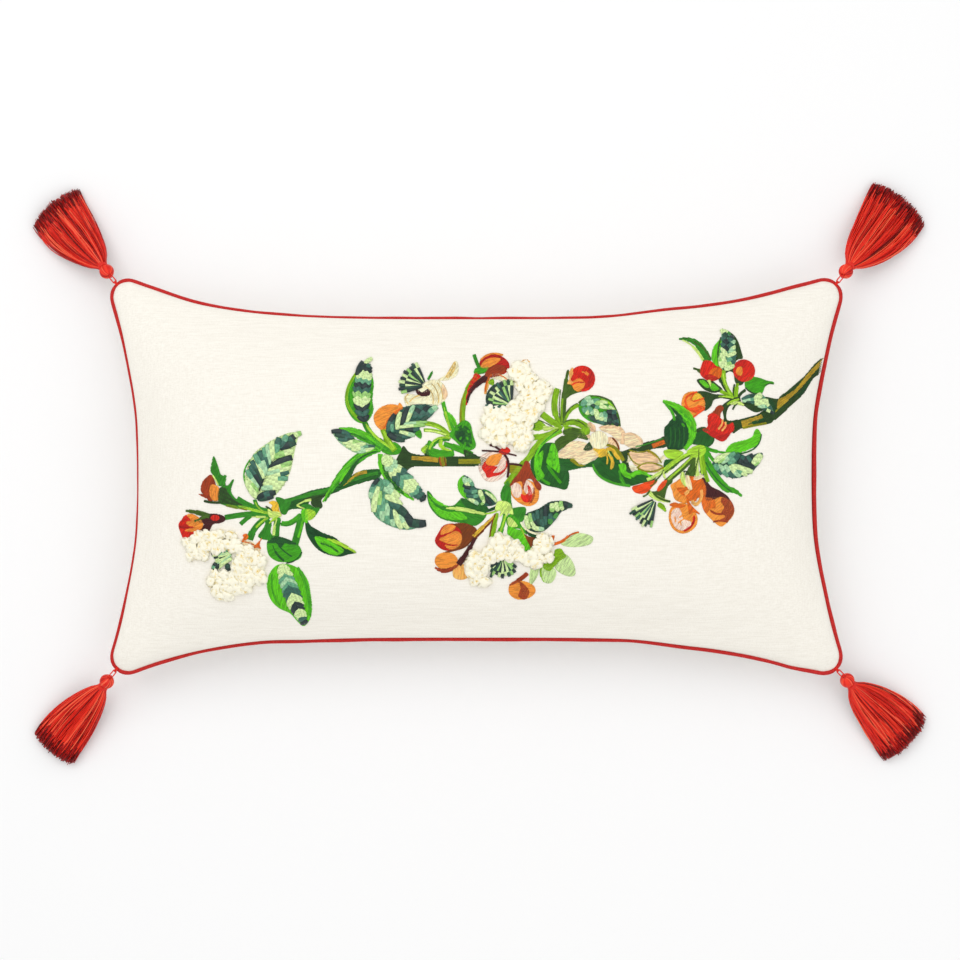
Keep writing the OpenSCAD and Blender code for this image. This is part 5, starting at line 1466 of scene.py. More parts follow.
blob(LEAF, "bright", [(129, 10), (131, 12), (134, 10), (134, 5), (131, 4)], 80, 3)
strip(LEAF, "gold", (120.5, 6.5), (125, 14), (118, 20), 2, 1.4, 1.2, layer=3)
strip(LEAF, "gold", (117, 24), (122, 27), (125, 19), 2.4, 3, layer=3)
strip(LEAF, "gold", (124, 21), (126, 17), (129, 15.5), 2.4, 2, 1, layer=3)
strip(LEAF, "gold", (115, 21), (119, 17), (117, 11), 1.4, 1, layer=3)
strip(LEAF, "pale", (118, 23), (119, 20), (121, 18), 0.9, 0.9, layer=4)
strip(LEAF, "olive", (116, 28), (125, 29), (132, 14), 1.4, 3, 1, layer=2)

# Branch to the third hub
blob(BRANCH, "bark", [(127, 21), (135, 23.5), (143, 27), (152, 30.5), (162, 33), (171, 36), (171, 27),
                      (160, 25), (150, 22.5), (140, 23), (136, 20), (136, 14), (137, 9), (139, 3), (136, 1),
                      (132, 8), (130, 16)], 20, 1)
strip(BRANCH, "amber", (158, 27), (164, 29.5), (169, 31), 4, 4, layer=2)
strip(BRANCH, "green", (143, 26.5), (152, 28), (168, 34), 0.9, 0.9, layer=2)

# Blush petals with brown edges
blob(PETAL, "shell", [(137, 20), (140, 23), (145, 21.5), (154, 22), (160, 20), (164, 15), (162, 12),
                      (155, 12), (148, 11), (144, 9), (140, 13)], 0, 2)
strip(CALYX, "olive", (136, 21), (140, 11), (147, 10), 1.1, 0.8, layer=3)
strip(CALYX, "olive", (137, 23.5), (146, 20), (152, 22.5), 1.2, 1.2, layer=3)
strip(CALYX, "tan", (153, 23), (158, 22), (162, 17), 1.6, 1.2, 1, layer=3)
strip(CALYX, "olive", (152, 23), (161, 23), (166, 12), 0.9, 1, layer=4)
blob(PETAL, "shell", [(146, 8), (150, 11), (156, 12), (162, 10), (166, 7), (164, 4.5), (157, 3.5), (151, 5)],
     0, 2)
strip(CALYX, "olive", (144, 7.5), (152, 16), (167, 9), 1.3, 1.3, layer=3)
strip(CALYX, "olive", (145, 7), (156, 1), (168, 8), 1.3, 1.6, layer=3)
strip(PETAL, "cream", (135, 14), (138, 12), (137, 18), 3, 2, 1, layer=1)
strip(PETAL, "cream", (138, 7), (141, 9), (145, 6), 5, 2, 1, layer=1)
strip(PETAL, "cream", (164, 12), (166, 16), (169, 18), 3, 2.5, layer=2)

# Third hub: branch, dark ribbon-like leaf and stems
blob(BRANCH, "dark", [(193, 30), (197, 37), (200, 43), (206, 44), (212, 38), (214, 33), (211, 28), (206, 26),
                      (200, 28)], 60, 1)
blob(BRANCH, "bark", [(196, 40), (200, 43.5), (206, 44), (210, 40), (205, 41), (200, 40)], 0, 2)
blob(LEAF, "deep", [(179, 54), (172, 47), (169, 43), (169, 35), (171, 27), (173, 24), (180, 23.5), (186, 25),
                    (190, 30), (192, 38), (190, 45), (185, 52)], 45, 1)
blob(LEAF, "deep", [(170, 66), (176, 60), (182, 52), (188, 46), (186, 54), (178, 61)], 45, 1)
strip(LEAF, "bright", (168, 68), (197, 58), (194, 36), 1.5, 6, 4.5, layer=2)
strip(LEAF, "bright", (194, 37), (193, 30), (187, 24.5), 6, 3, layer=2)
strip(LEAF, "leaf", (168, 67), (178, 59), (178, 50), 1.2, 1.6, 0.8, layer=2)
for x, y in [(184, 58), (188, 54), (190, 48), (192, 51), (187, 50), (186, 46), (194, 43)]:
    oval(LEAF, "leaf", (x, y), 2.0, 1.0, 130, 90, 3)
for x in (173, 177, 181, 185):
    strip(LEAF, "dark", (x, 26), (x + 3, 34), (x + 1, 44), 0.9, 0.9, layer=2)
blob(LEAF, "lime", [(168, 22.5), (173, 24), (181, 23.5), (186, 21), (182, 18), (177, 15.5), (171, 17)], 0, 2)
blob(LEAF, "dark", [(169, 14), (176, 15.5), (187, 19), (180, 10), (173, 5), (168.5, 4)], 30, 1)
strip(STEM, "lime", (196, 21), (180, 17), (169, 4.5), 4, 5, layer=2)
strip(STEM, "moss", (194, 20), (182, 14), (168.5, 2.5), 1, 1, layer=3)
strip(STEM, "moss", (196, 18), (184, 6), (170, -5), 4, 4.5, layer=1)
strip(STEM, "lime", (196, 19.5), (183, 7), (172, -3), 2, 2, layer=2)
strip(STEM, "moss", (198, 17), (195, 10), (191, 0), 3.5, 8, layer=1)
strip(STEM, "pale", (199, 20), (197, 8), (199, -2), 2, 4, layer=2)
strip(STEM, "moss", (201, 22), (197, 10), (196, 1), 1.4, 1, layer=3)
strip(STEM, "fresh", (202, 22), (203, 10), (208, -5), 4.5, 3.5, layer=2)
strip(STEM, "lime", (201, 18), (201, 9), (203, 2), 1.8, 1.4, layer=3)
strip(LEAF, "moss", (201, 5), (204, 4), (205, 1), 3, 1.5, layer=2)
strip(LEAF, "leaf", (203, 23), (210, 2), (226, -12), 5, 6, 1.2, layer=1)
strip(LEAF, "leaf", (225, -11.5), (234, -12), (239, -18), 6, 1.6, layer=1)
strip(LEAF, "dark", (206, 13), (214, -4), (230, -14), 0.8, 1.0, layer=2)
strip(LEAF, "leaf", (204, 25), (209, 20), (214, 13), 5, 2, layer=1)
strip(LEAF, "leaf", (205, 26), (213, 22), (227, 21), 3, 2, layer=1)
blob(LEAF, "bright", [(224, 20.5), (227, 27), (233, 30.5), (243, 33), (249, 36), (251, 41), (254, 42.5),
                      (257, 37), (255, 30), (247, 25), (238, 21.5), (230, 20)], 25, 1)
strip(LEAF, "dark", (226, 20), (256, 19), (257, 38), 0.9, 0.9, layer=2)
blob(STEM, "lime", [(189, 22), (194, 26), (200, 28), (205, 27), (206, 22), (202, 18), (196, 17),
                    (192, 18.5)], 20, 3)
strip(STEM, "moss", (200, 25), (199, 20), (200, 15), 0.8, 0.8, layer=4)

# Striped bud right of the branch
blob(CALYX, "rust", [(208, 54), (213, 58), (217, 63), (221, 64), (223, 61), (220, 57), (219, 53), (213, 53)],
     60, 1)
blob(RED, "red", [(203, 42), (208, 44.5), (208, 51), (210, 56), (216, 56), (221, 51), (226, 46.5),
                  (231, 48.5), (232, 42), (228, 38), (225, 33.5), (221, 31.5), (215, 34), (209, 38)], 60, 2)
blob(RED, "crimson", [(209, 38), (215, 34), (221, 31.5), (226, 35), (228, 39), (220, 38), (213, 41)], 20, 3)
strip(RED, "apricot", (217.5, 42.5), (222, 46), (221.5, 51), 1.6, 1.4, layer=3)
strip(RED, "apricot", (220.5, 41), (226, 45), (224, 49), 1.6, 1.4, layer=3)

# Right end of the branch
blob(BRANCH, "bark", [(221, 47), (223, 52), (222, 60), (226, 66), (230, 67), (226, 60), (225, 53), (228, 50),
                      (240, 52), (254, 56), (262, 61), (269, 56), (268, 50), (263, 47.5), (250, 47),
                      (238, 43), (231, 39), (231, 47), (227, 46)], 15, 1)
strip(BRANCH, "tan", (239, 47), (249, 49), (258, 54.5), 6, 3, 1, layer=2)
strip(BRANCH, "olive", (240, 43.6), (250, 46), (262, 48), 2, 1.4, layer=2)
strip(BRANCH, "deep", (245, 47), (252, 49), (260, 52), 1.6, 2.4, layer=3)
blob(BRANCH, "bark", [(240, 66), (247, 67), (256, 63), (266, 57), (269, 51), (276, 56), (286, 65), (298, 76),
                      (304, 86), (312, 93), (322, 98), (328, 108), (326, 116), (318, 110), (308, 102),
                      (300, 93), (289, 83), (276, 73), (272, 70), (260, 71.5), (262, 63), (254, 58),
                      (247, 60)], 40, 1)
blob(BRANCH, "tan", [(272.5, 61), (273, 69), (280, 73), (290, 80), (300, 92), (308, 100.5), (317, 108.5),
                     (327, 115), (326, 109), (316, 103), (305, 92), (297, 83), (288, 74), (280, 67)], 40, 2)
strip(BRANCH, "olive", (270, 58), (273, 62), (278, 66), 1.2, 1.2, layer=2)
strip(BRANCH, "deep", (262, 70), (268, 66), (268, 57), 4, 4, 2, layer=2)
strip(BRANCH, "deep", (304, 88), (300, 80), (292, 73), 2.4, 2, layer=2)

# Ribbon leaf on the branch
blob(RIBBON, "jade", [(239, 70), (247, 73), (257, 74), (262, 70), (266, 64), (269, 57), (262, 59), (255, 64),
                      (247, 66)], -20, 2)
for colours, line, width in [(("teal", "pine"), [(240, 69), (246, 73), (252, 73)], 4),
        (("mint", "jade"), [(240, 68), (247, 69), (252, 70)], 4),
        (("pine", "teal"), [(241, 69), (247, 66), (252, 68)], 3),
        (("frost", "frost"), [(250, 67), (255, 73), (258, 74)], 6),
        (("frost", "frost"), [(251, 66), (257, 67), (264, 68)], 6),
        (("mint", "jade"), [(254, 64), (260, 63), (266, 63)], 4.4),
        (("frost", "teal"), [(259, 68), (264, 64), (267, 60)], 4),
        (("pine", "frost", "ink"), [(257, 62), (263, 60), (269, 57)], 3.4)]:
    ribbon(RIBBON, colours, line, width, 1.6, layer=3)

# Orange bud of the upper right
blob(ORANGE, "orange", [(185, 68), (187, 73), (192, 76), (199, 76), (204, 72), (206, 67), (205, 61),
                        (200, 58), (194, 53), (189, 58), (185, 63)], 30, 1)
blob(ORANGE, "flame", [(196, 62), (201, 64), (206, 61), (200, 57), (194, 58), (190, 61)], 20, 2)
blob(ORANGE, "gold", [(193, 68), (196, 73), (200, 75), (204, 71), (198, 69)], 40, 2)
strip(ORANGE, "flame", (199, 76), (182, 72), (191, 61), 1, 1.4, layer=3)
strip(ORANGE, "flame", (205, 70.5), (187, 63), (196, 74), 1.1, 1.1, layer=3)
strip(ORANGE, "flame", (187, 63), (193, 58), (200, 58.5), 1.4, 1.6, layer=3)
strip(ORANGE, "flame", (195, 53), (200, 57), (205, 60), 0.9, 0.9, layer=3)
blob(CALYX, "bark", [(199, 76), (206, 76.5), (214, 74), (222, 73), (219, 70.5), (214, 69), (211, 63),
                     (205.5, 59), (206.5, 66), (203, 72)], 70, 2)

# Upper hub: stems, double leaf and broad leaf
strip(STEM, "bark", (217, 72.5), (224, 72), (233, 70), 3, 3, layer=1)
strip(STEM, "lime", (218, 72), (225, 72.5), (232, 70.5), 1.6, 1.6, layer=2)
blob(LEAF, "bark", [(199, 87), (204, 88), (209, 86), (213, 86), (217, 83), (222, 78), (214, 75.5), (206, 78),
                    (201, 83)], 0, 1)
blob(LEAF, "bright", [(201, 86), (205, 86.5), (209, 83), (210, 80), (206, 80.5)], -20, 2)
blob(LEAF, "bright", [(210.5, 80), (213, 84), (216, 82), (219, 78.5), (214, 77)], -20, 2)
strip(PETAL, "pale", (209.5, 87), (211, 85), (211, 81), 3.4, 1, layer=3)
strip(STEM, "fresh", (220, 77), (226, 74), (232, 71), 3, 2.4, layer=2)
strip(STEM, "bark", (219, 95), (220, 82), (231, 71), 3.5, 2, layer=1)
strip(STEM, "fresh", (223, 96), (222, 82), (232, 71), 4.4, 2.6, layer=2)
strip(STEM, "lime", (223, 93), (223, 83), (230, 73), 1.4, 1.4, layer=3)
strip(STEM, "fresh", (236, 84), (234, 77), (234, 71), 2.8, 3.6, layer=2)
strip(STEM, "bark", (233, 83), (231, 77), (232, 72), 0.9, 1, layer=3)
strip(STEM, "bark", (243, 78), (239, 76), (235, 70), 2.4, 2, layer=1)
blob(CALYX, "bark", [(223, 96.5), (228, 97.5), (233, 97), (236, 93), (242, 91.5), (246, 89), (243, 87),
                     (240, 83), (236, 82.5), (233.5, 86), (232.5, 93), (229, 95), (225, 93)], 30, 1)
strip(STEM, "bark", (238, 70), (229, 68), (223, 62), 4.6, 4.4, layer=2)
strip(STEM, "lime", (237, 69.5), (230, 68.5), (226, 64.5), 1.8, 1.4, layer=3)
strip(LEAF, "pale", (229, 65), (236, 68), (241, 64), 1.6, 1.6, 1.4, layer=3)
strip(LEAF, "bark", (236, 66), (232, 64), (231, 60), 1, 1.2, layer=3)
blob(LEAF, "leaf", [(243, 87.5), (248, 90), (256, 89), (263, 86.5), (268.5, 85.5), (269, 83.5), (265, 83.5),
                    (261, 81), (258, 75), (252, 74), (247, 76.5), (243, 80)], 20, 1)
strip(LEAF, "bark", (243, 80), (249, 73), (258, 75), 1, 1, layer=2)
strip(LEAF, "bark", (261, 82), (264, 85), (269, 83.5), 0.8, 0.8, layer=2)

# Two red buds at the top of the hub
blob(RED, "red", [(202, 93), (203.5, 100), (206, 104.5), (212, 104), (217, 99.5), (221.5, 98), (221, 91),
                  (218, 87.5), (212, 86), (206, 88)], 70, 2)
blob(RED, "amber", [(212, 96), (216, 98), (221.5, 98), (221, 91), (218, 88), (212, 87), (209, 90)], 60, 3)
blob(RED, "crimson", [(206, 89), (212, 86.5), (218, 88), (216, 90), (210, 92)], 10, 4)
strip(CALYX, "moss", (196, 97.5), (200, 97), (203, 94), 1.6, 3, layer=1)
oval(RED, "red", (242, 95.5), 10, 10.2, 0, 50, 2)
blob(RED, "crimson", [(234, 96), (235, 102), (240, 105), (243, 105), (241, 99), (237, 97)], 30, 3)
blob(RED, "orange", [(234.5, 94), (236, 98), (240, 98.5), (240, 92), (237, 91)], 60, 4)

# Ribbon leaf and buds under the third hub
blob(RIBBON, "teal", [(212, 11), (217, 17), (226, 20), (236, 22), (241, 18), (250, 19.5), (258, 21),
                      (256, 13), (252, 8), (247, 3), (240, 0), (232, -1.5), (223, 1), (217, 6)], 20, 1)
for colours, line, width in [(("frost", "frost"), [(214, 13), (219, 18), (229, 20)], 5),
        (("spring", "frost"), [(217, 12), (222, 15), (228, 19)], 3.4),
        (("mint", "jade"), [(220, 12), (225, 16), (233, 21)], 5.5),
        (("jade", "teal"), [(226, 12), (232, 14), (237, 20)], 5.5),
        (("ink", "teal"), [(236, 11), (239, 15), (241, 19)], 4.6),
        (("ink", "teal", "ink"), [(240, 13), (245, 15), (250, 19)], 7),
        (("ink", "ink"), [(238, 11), (245, 11), (251, 8)], 4.6),
        (("frost", "frost"), [(248, 12), (253, 14), (257, 20)], 7),
        (("spring", "frost"), [(250, 10), (255, 12), (256, 16)], 3),
        (("jade", "teal"), [(214, 11), (217, 7), (221, 2)], 5),
        (("mint", "jade"), [(217, 10), (221, 7), (227, 0)], 5.5),
        (("mint", "teal"), [(223, 10), (226, 6), (232, -1)], 5.5),
        (("frost", "mint"), [(227, 9), (231, 5), (238, 0)], 5.5),
        (("frost", "frost"), [(229, 10), (239, 7), (249, 4)], 5.5),
        (("jade", "frost"), [(232, 6), (238, 4), (244, 1)], 4)]:
    ribbon(RIBBON, colours, line, width, 1.7, layer=2)
blob(ORANGE, "orange", [(203, -20), (204, -28), (207, -34), (213, -40), (220, -45), (226, -41), (231, -35),
                        (232, -29), (229, -23), (225, -18.5), (215, -18)], 40, 1)
blob(ORANGE, "rust", [(221, -19), (228, -21), (232, -29), (230, -36), (225, -41), (219, -39.5), (224, -36),
                      (220, -33), (223, -28), (220, -23)], 70, 2)
blob(ORANGE, "amber", [(203, -19), (213, -20), (215, -28), (210, -29), (207, -33.5), (203.5, -28)], 60, 2)
strip(ORANGE, "rust", (210, -30), (214, -35), (222, -33.5), 1, 1.6, layer=3)
strip(ORANGE, "rust", (213, -41), (218, -38.5), (226, -41), 0.9, 1.2, layer=3)
blob(CALYX, "maroon", [(201, 0), (205, -2), (211, -9), (219, -13), (226, -18), (227.5, -21.5), (221, -18.5),
                       (216, -19.5), (213, -21), (206, -21), (206, -12), (204, -5)], 70, 2)
blob(ORANGE, "orange", [(174.5, -8), (179, -5), (184, -2), (188, -6), (189, -14), (192, -20), (189, -24),
                        (183, -23), (178, -20), (176, -13)], 60, 1)
blob(ORANGE, "amber", [(190, 0), (199, -1), (203, -2), (206.5, -9), (206.5, -16), (204, -20), (199, -19),
                       (197, -22), (192, -22), (188, -18), (187, -12), (188.5, -6)], 50, 2)
blob(ORANGE, "amber", [(180, -10.5), (189, -11), (191, -17), (186, -17), (183, -15)], 20, 3)
strip(PETAL, "peach", (189.5, 1), (189, -6), (193, -12), 2, 2, 3, layer=4)
strip(PETAL, "pale", (185.5, 4), (184, -2), (188, -9), 2, 1, 2.5, layer=3)
strip(CALYX, "bark", (185, 1), (187, 9), (191, 2), 1, 1.2, layer=2)
strip(PETAL, "apricot", (187, -16), (189, -15), (191, -12), 2.4, 1.4, 1, layer=4)
strip(PETAL, "apricot", (202, -12), (204, -20), (198, -25), 2.4, 2.6, layer=3)
strip(PETAL, "apricot", (194, -21), (194, -26), (199, -25), 1.5, 2, 1.5, layer=3)
strip(PETAL, "peach", (195, -2), (200, -2), (203, 1), 2, 2.6, 1, layer=3)
blob(ORANGE, "orange", [(173, -38), (174, -30), (178, -26), (186, -24), (194, -29), (198.5, -36), (198, -43),
                        (194, -48), (188, -51), (182, -50.5), (176, -46)], 45, 1)
blob(PETAL, "blush", [(175, -38), (176, -31), (181, -28), (184, -32), (186, -38), (193, -41), (191, -46),
                      (185, -48.5), (179, -46)], 60, 2)
strip(ORANGE, "red", (195.5, -35), (197, -45), (186, -49), 1.2, 1.2, 0.8, layer=3)
for a, b in [((182, -37), (188, -34)), ((181, -42), (187, -38)), ((184, -44), (183, -40)),
             ((178, -36), (179, -41))]:
    strip(ORANGE, "orange", a, ((a[0] + b[0]) / 2, (a[1] + b[1]) / 2 + 1), b, 0.9, 0.9, layer=3)
blob(CALYX, "amber", [(173.5, -25.5), (178, -23.5), (183, -25), (188, -26), (184, -28), (178, -27.5)], 0, 3)
blob(CALYX, "amber", [(189, -20), (194, -27), (201, -34), (195, -32), (191.5, -34), (190, -27)], 60, 3)

# Tuft and the flame-coloured petals
blob(ORANGE, "flame", [(140, -9.5), (142, -14), (148, -15.5), (154, -13.5), (158, -9), (162, -5), (161, -3),
                       (155, -4.5), (147, -7)], 15, 1)
blob(CALYX, "moss", [(157, -14), (162, -13), (168, -7), (172, -3), (175, -1), (176, -4.5), (173, -8),
                     (171, -11), (169.5, -17), (168, -20.5), (162, -18)], 50, 1)
blob(ORANGE, "flame", [(163, -13.5), (167, -11), (171, -5), (170, -3), (166, -6), (162.5, -11)], 50, 2)
strip(CALYX, "moss", (156, -9), (159, -8), (162, -3), 1.4, 1, layer=2)
strip(PETAL, "pale", (153, -3), (162, 0), (168, 6), 2.4, 3, layer=2)
strip(CALYX, "moss", (160, -4), (166, 0), (168, 6), 0.9, 0.9, layer=3)
strip(PETAL, "pale", (168, 5), (167, 1), (170, -2), 1.6, 1, layer=3)
strip(PETAL, "pale", (155, -14), (160, -20), (173, -22.5), 3.5, 1.6, 2, layer=1)
strip(CALYX, "moss", (158, -14), (163, -21), (174, -22.5), 1, 1.6, layer=3)
strip(CALYX, "moss", (155.5, -12.5), (154, -17), (149.5, -18), 1.4, 1.2, layer=3)
strip(LEAF, "fresh", (163, -25), (167, -26), (170, -31.5), 3, 1, 2, layer=2)
ribbon_fan(TUFT, ["ink", "frost", "pine", "ink", "spring", "teal", "frost"], (161, -20), (145, -41), 56, 11)

# Tall rimmed ribbon leaf of the left hub
blob(LEAF, "leaf", [(-100, 48), (-107, 49), (-113, 55), (-117.5, 65), (-117.5, 75), (-114, 84), (-109, 92),
                    (-104, 98), (-98, 97), (-94.5, 92), (-92.5, 84), (-93, 76), (-93.5, 68), (-92.5, 60),
                    (-95, 53)], 80, 1)
strip(LEAF, "fresh", (-102, 49), (-128, 66), (-108, 93), 2, 2, 0.6, layer=2)
ribbon_column(RIBBON, ["ink", "teal", "ink", "frost", "frost", "spring", "teal", "ink", "jade", "frost",
                       "frost", "ink", "ink"], (-100, 49), (-107, 72), (-99, 99), 6, 7, 8, 4.2, 2, 36)
for colours, line, width in [(("ink", "ink"), [(-107, 91), (-106, 97), (-102, 104)], 6),
        (("ink", "teal"), [(-100, 94), (-98, 98), (-97, 102)], 5),
        (("ink", "ink"), [(-106, 95), (-102, 100), (-98, 101)], 5),
        (("frost", "frost"), [(-101, 102), (-98, 105), (-94, 107)], 4)]:
    ribbon(RIBBON, colours, line, width, 2, layer=3)

# Left leaf of the left hub
blob(LEAF, "leaf", [(-121, 42), (-114, 44), (-106, 42), (-99, 36), (-93, 30), (-88, 27), (-96, 29),
                    (-102, 31), (-108, 35), (-115, 40)], -25, 1)
blob(RIBBON, "mint", [(-129, 40), (-122, 42), (-112, 35), (-98, 30), (-90, 26), (-98, 22), (-107, 21),
                      (-117, 26), (-124, 32)], -20, 1)
for colours, line, width in [(("ink", "teal"), [(-130, 40), (-122, 42), (-113, 37)], 4.6),
        (("pine", "teal"), [(-127, 38), (-119, 36), (-110, 34)], 5),
        (("teal", "pine"), [(-124, 34), (-117, 32), (-109, 33)], 4.6),
        (("frost", "spring"), [(-120, 30), (-112, 32), (-104, 30)], 4.6),
        (("frost", "frost"), [(-117, 27), (-109, 28), (-99, 29)], 4.6),
        (("frost", "mint"), [(-112, 24), (-105, 25), (-97, 26)], 4.4),
        (("mint", "frost"), [(-107, 22), (-101, 22), (-92, 26)], 4),
        (("jade", "teal"), [(-104, 26), (-98, 27), (-91, 27)], 3)]:
    ribbon(RIBBON, colours, line, width, 1.6, layer=2)

# Lower branch and the hanging leaf over it
blob(BRANCH, "dark", [(-86, 6), (-97, 6), (-105, 4.5), (-114, -1), (-124, -7), (-132, -9.5), (-145, -12),
                      (-158, -16), (-170, -20.5), (-180, -20), (-176, -25), (-176, -31), (-172, -33.5),
                      (-168, -30), (-160, -29), (-153, -29), (-148, -20), (-140, -18), (-130, -16),
                      (-116, -10), (-100, -5), (-87, -1)], 20, 0)
strip(BRANCH, "green", (-172, -22), (-152, -17), (-131, -12), 3, 4, layer=1)
strip(BRANCH, "tan", (-98, 4), (-106, 3.5), (-111, -1), 2.4, 1.6, 1, layer=1)
strip(BRANCH, "tan", (-110, -1), (-117, -5), (-121, -8), 2, 2.4, 1, layer=1)
strip(BRANCH, "green", (-88, 3), (-106, 0), (-124, -9), 3, 2, layer=1)
blob(BRANCH, "bark", [(-161, -24), (-152, -19), (-145, -16.5), (-139, -17), (-134, -16), (-139, -21),
                      (-138, -27), (-142, -29), (-148, -25), (-148, -20), (-154, -21)], 20, 1)
strip(BRANCH, "pale", (-161, -26), (-154, -21), (-148, -21), 1, 2.2, layer=2)
strip(BRANCH, "pale", (-161, -26), (-157, -28), (-154, -29), 1, 1.4, layer=2)
blob(LEAF, "green", [(-157, -26), (-150, -25), (-145, -28), (-140, -28), (-146, -37), (-152, -39),
                     (-155, -33), (-153, -29)], 40, 1)
strip(LEAF, "bright", (-90, 23), (-112, 20), (-137, -23), 2.4, 2, 3.4, side=(-1, 0), layer=3)
strip(LEAF, "leaf", (-106, 17), (-118, 6), (-131, -12), 1, 2, 3, layer=3)
blob(LEAF, "dark", [(-103, 18.5), (-108, 17), (-113, 8), (-120, -4), (-124, -10), (-119, -8), (-113, -1),
                    (-109, 7)], 60, 3)
strip(LEAF, "bright", (-113, 8), (-119, 2), (-122, -5), 1, 1.4, 1, layer=4)

# Left end: hub and stems
blob(LEAF, "green", [(-180, -19.5), (-176, -19), (-170, -21.5), (-166, -21), (-168, -28), (-171, -34),
                     (-175, -33), (-177, -27)], 60, 1)
blob(PETAL, "gold", [(-186, -23.5), (-182, -22), (-178, -24), (-177, -30), (-175, -35), (-180, -34),
                     (-184, -30), (-183, -26)], 60, 2)
blob(PETAL, "pale", [(-187, -29), (-183, -31), (-177, -32), (-175, -35.5), (-181, -37), (-186, -36)], -20, 3)
strip(STEM, "green", (-215, -20), (-200, -30), (-184, -32), 5, 4.5, layer=1)
strip(STEM, "lime", (-214, -26), (-200, -31), (-185, -33), 2.4, 2.2, layer=2)
strip(STEM, "olive", (-225, -25.5), (-216, -28), (-206, -30), 2.6, 1.4, layer=2)
strip(STEM, "green", (-199, -21), (-198, -28), (-191, -31), 3.2, 2.6, layer=1)
strip(STEM, "lime", (-198.5, -23), (-197, -28), (-192, -31), 1.2, 1.2, layer=2)
strip(STEM, "green", (-226, -37), (-205, -33), (-186, -33), 4.6, 4.6, layer=1)
strip(STEM, "pale", (-202, -36.5), (-196, -36), (-189, -36.5), 1, 2, layer=2)
strip(STEM, "green", (-202, -35), (-207, -38), (-212, -43), 3.4, 3.6, layer=1)
strip(STEM, "green", (-204, -57), (-200, -43), (-186, -36), 6.2, 4, layer=1)
strip(STEM, "lime", (-198, -46), (-194, -41), (-187, -37), 1.8, 1.8, layer=2)
blob(STEM, "green", [(-188, -38), (-184, -42), (-185, -50), (-182, -56), (-189, -57), (-196, -54),
                     (-191, -46)], 70, 1)
strip(STEM, "lime", (-186, -42), (-181, -38), (-178, -35), 1.4, 2.2, layer=3)
strip(STEM, "green", (-178, -37), (-180, -46), (-180, -54), 5, 5.6, layer=1)
strip(STEM, "pale", (-179, -38), (-182, -46), (-182, -53), 1.4, 2.4, layer=2)
strip(LEAF, "bark", (-189, -27), (-186, -28), (-183, -31), 1.2, 1, layer=3)

# Ribbon leaf above the hub
blob(RIBBON, "frost", [(-196, -19), (-204, -14), (-208, -6), (-207, 2), (-204, 12), (-199, 21), (-190, 28),
                       (-180, 34), (-168, 39), (-160, 38), (-162, 28), (-164, 18), (-166, 8), (-170, -3),
                       (-177, -13), (-186, -21)], 60, 1)
for colours, line, width in [(("frost", "frost"), [(-197, -19), (-203, -12), (-206, -3)], 6.5), (("spring",
        "frost"), [(-196, -14), (-201, -8), (-205, 2)], 4.6),
        (("mint", "jade"), [(-195, -10), (-201, -4), (-206, 6)], 5.5),
        (("ink", "teal"), [(-193, -9), (-198, 0), (-203, 10)], 5.5),
        (("pine", "teal"), [(-193, -4), (-197, 6), (-202, 14)], 5.5),
        (("frost", "frost"), [(-191, -2), (-193, 6), (-198, 13)], 5),
        (("mint", "jade"), [(-190, 0), (-193, 10), (-199, 20)], 6),
        (("mint", "teal"), [(-189, 2), (-190, 13), (-195, 23)], 6),
        (("teal", "jade"), [(-188, 5), (-188, 16), (-191, 26)], 5),
        (("mint", "mint"), [(-186, 10), (-186, 19), (-188, 29)], 5),
        (("frost", "frost"), [(-184, 14), (-183, 23), (-183, 32)], 6),
        (("jade", "teal"), [(-180, 20), (-179, 28), (-177, 35)], 6),
        (("teal", "jade"), [(-175, 24), (-173, 31), (-170, 37)], 6),
        (("ink", "pine"), [(-176, 24), (-169, 29), (-162, 31)], 7),
        (("teal", "ink"), [(-169, 31), (-166, 34), (-162, 37)], 6),
        (("frost", "spring"), [(-164, 36), (-161, 38), (-157, 39)], 5),
        (("spring", "frost"), [(-182, 17), (-174, 21), (-164, 23)], 6),
        (("ink", "ink"), [(-186, 6), (-178, 14), (-165, 17)], 6.5),
        (("frost", "spring"), [(-187, 5), (-177, 9), (-166, 13)], 6),
        (("mint", "frost"), [(-188, 2), (-178, 5), (-167, 8)], 5.5),
        (("frost", "teal"), [(-187, -1), (-177, 2), (-168, 4)], 5),
        (("frost", "jade"), [(-189, -4), (-180, -1), (-169, -2)], 5.5),
        (("frost", "frost"), [(-191, -7), (-182, -5), (-172, -6)], 6),
        (("mint", "frost"), [(-193, -11), (-184, -9), (-175, -10)], 5.5),
        (("ink", "teal", "ink"), [(-197, -20), (-190, -16), (-180, -14)], 6.5),
        (("pine", "ink"), [(-195, -21), (-189, -20), (-182, -18)], 4.6)]:
    ribbon(RIBBON, colours, line, width, 1.7, layer=2)
strip(RIBBON, "ink", (-195, -13), (-191, -2), (-181, 19), 1.2, 1, layer=3)
strip(LEAF, "leaf", (-197, -20), (-217, -2), (-203, 15), 1, 0.8, layer=2)

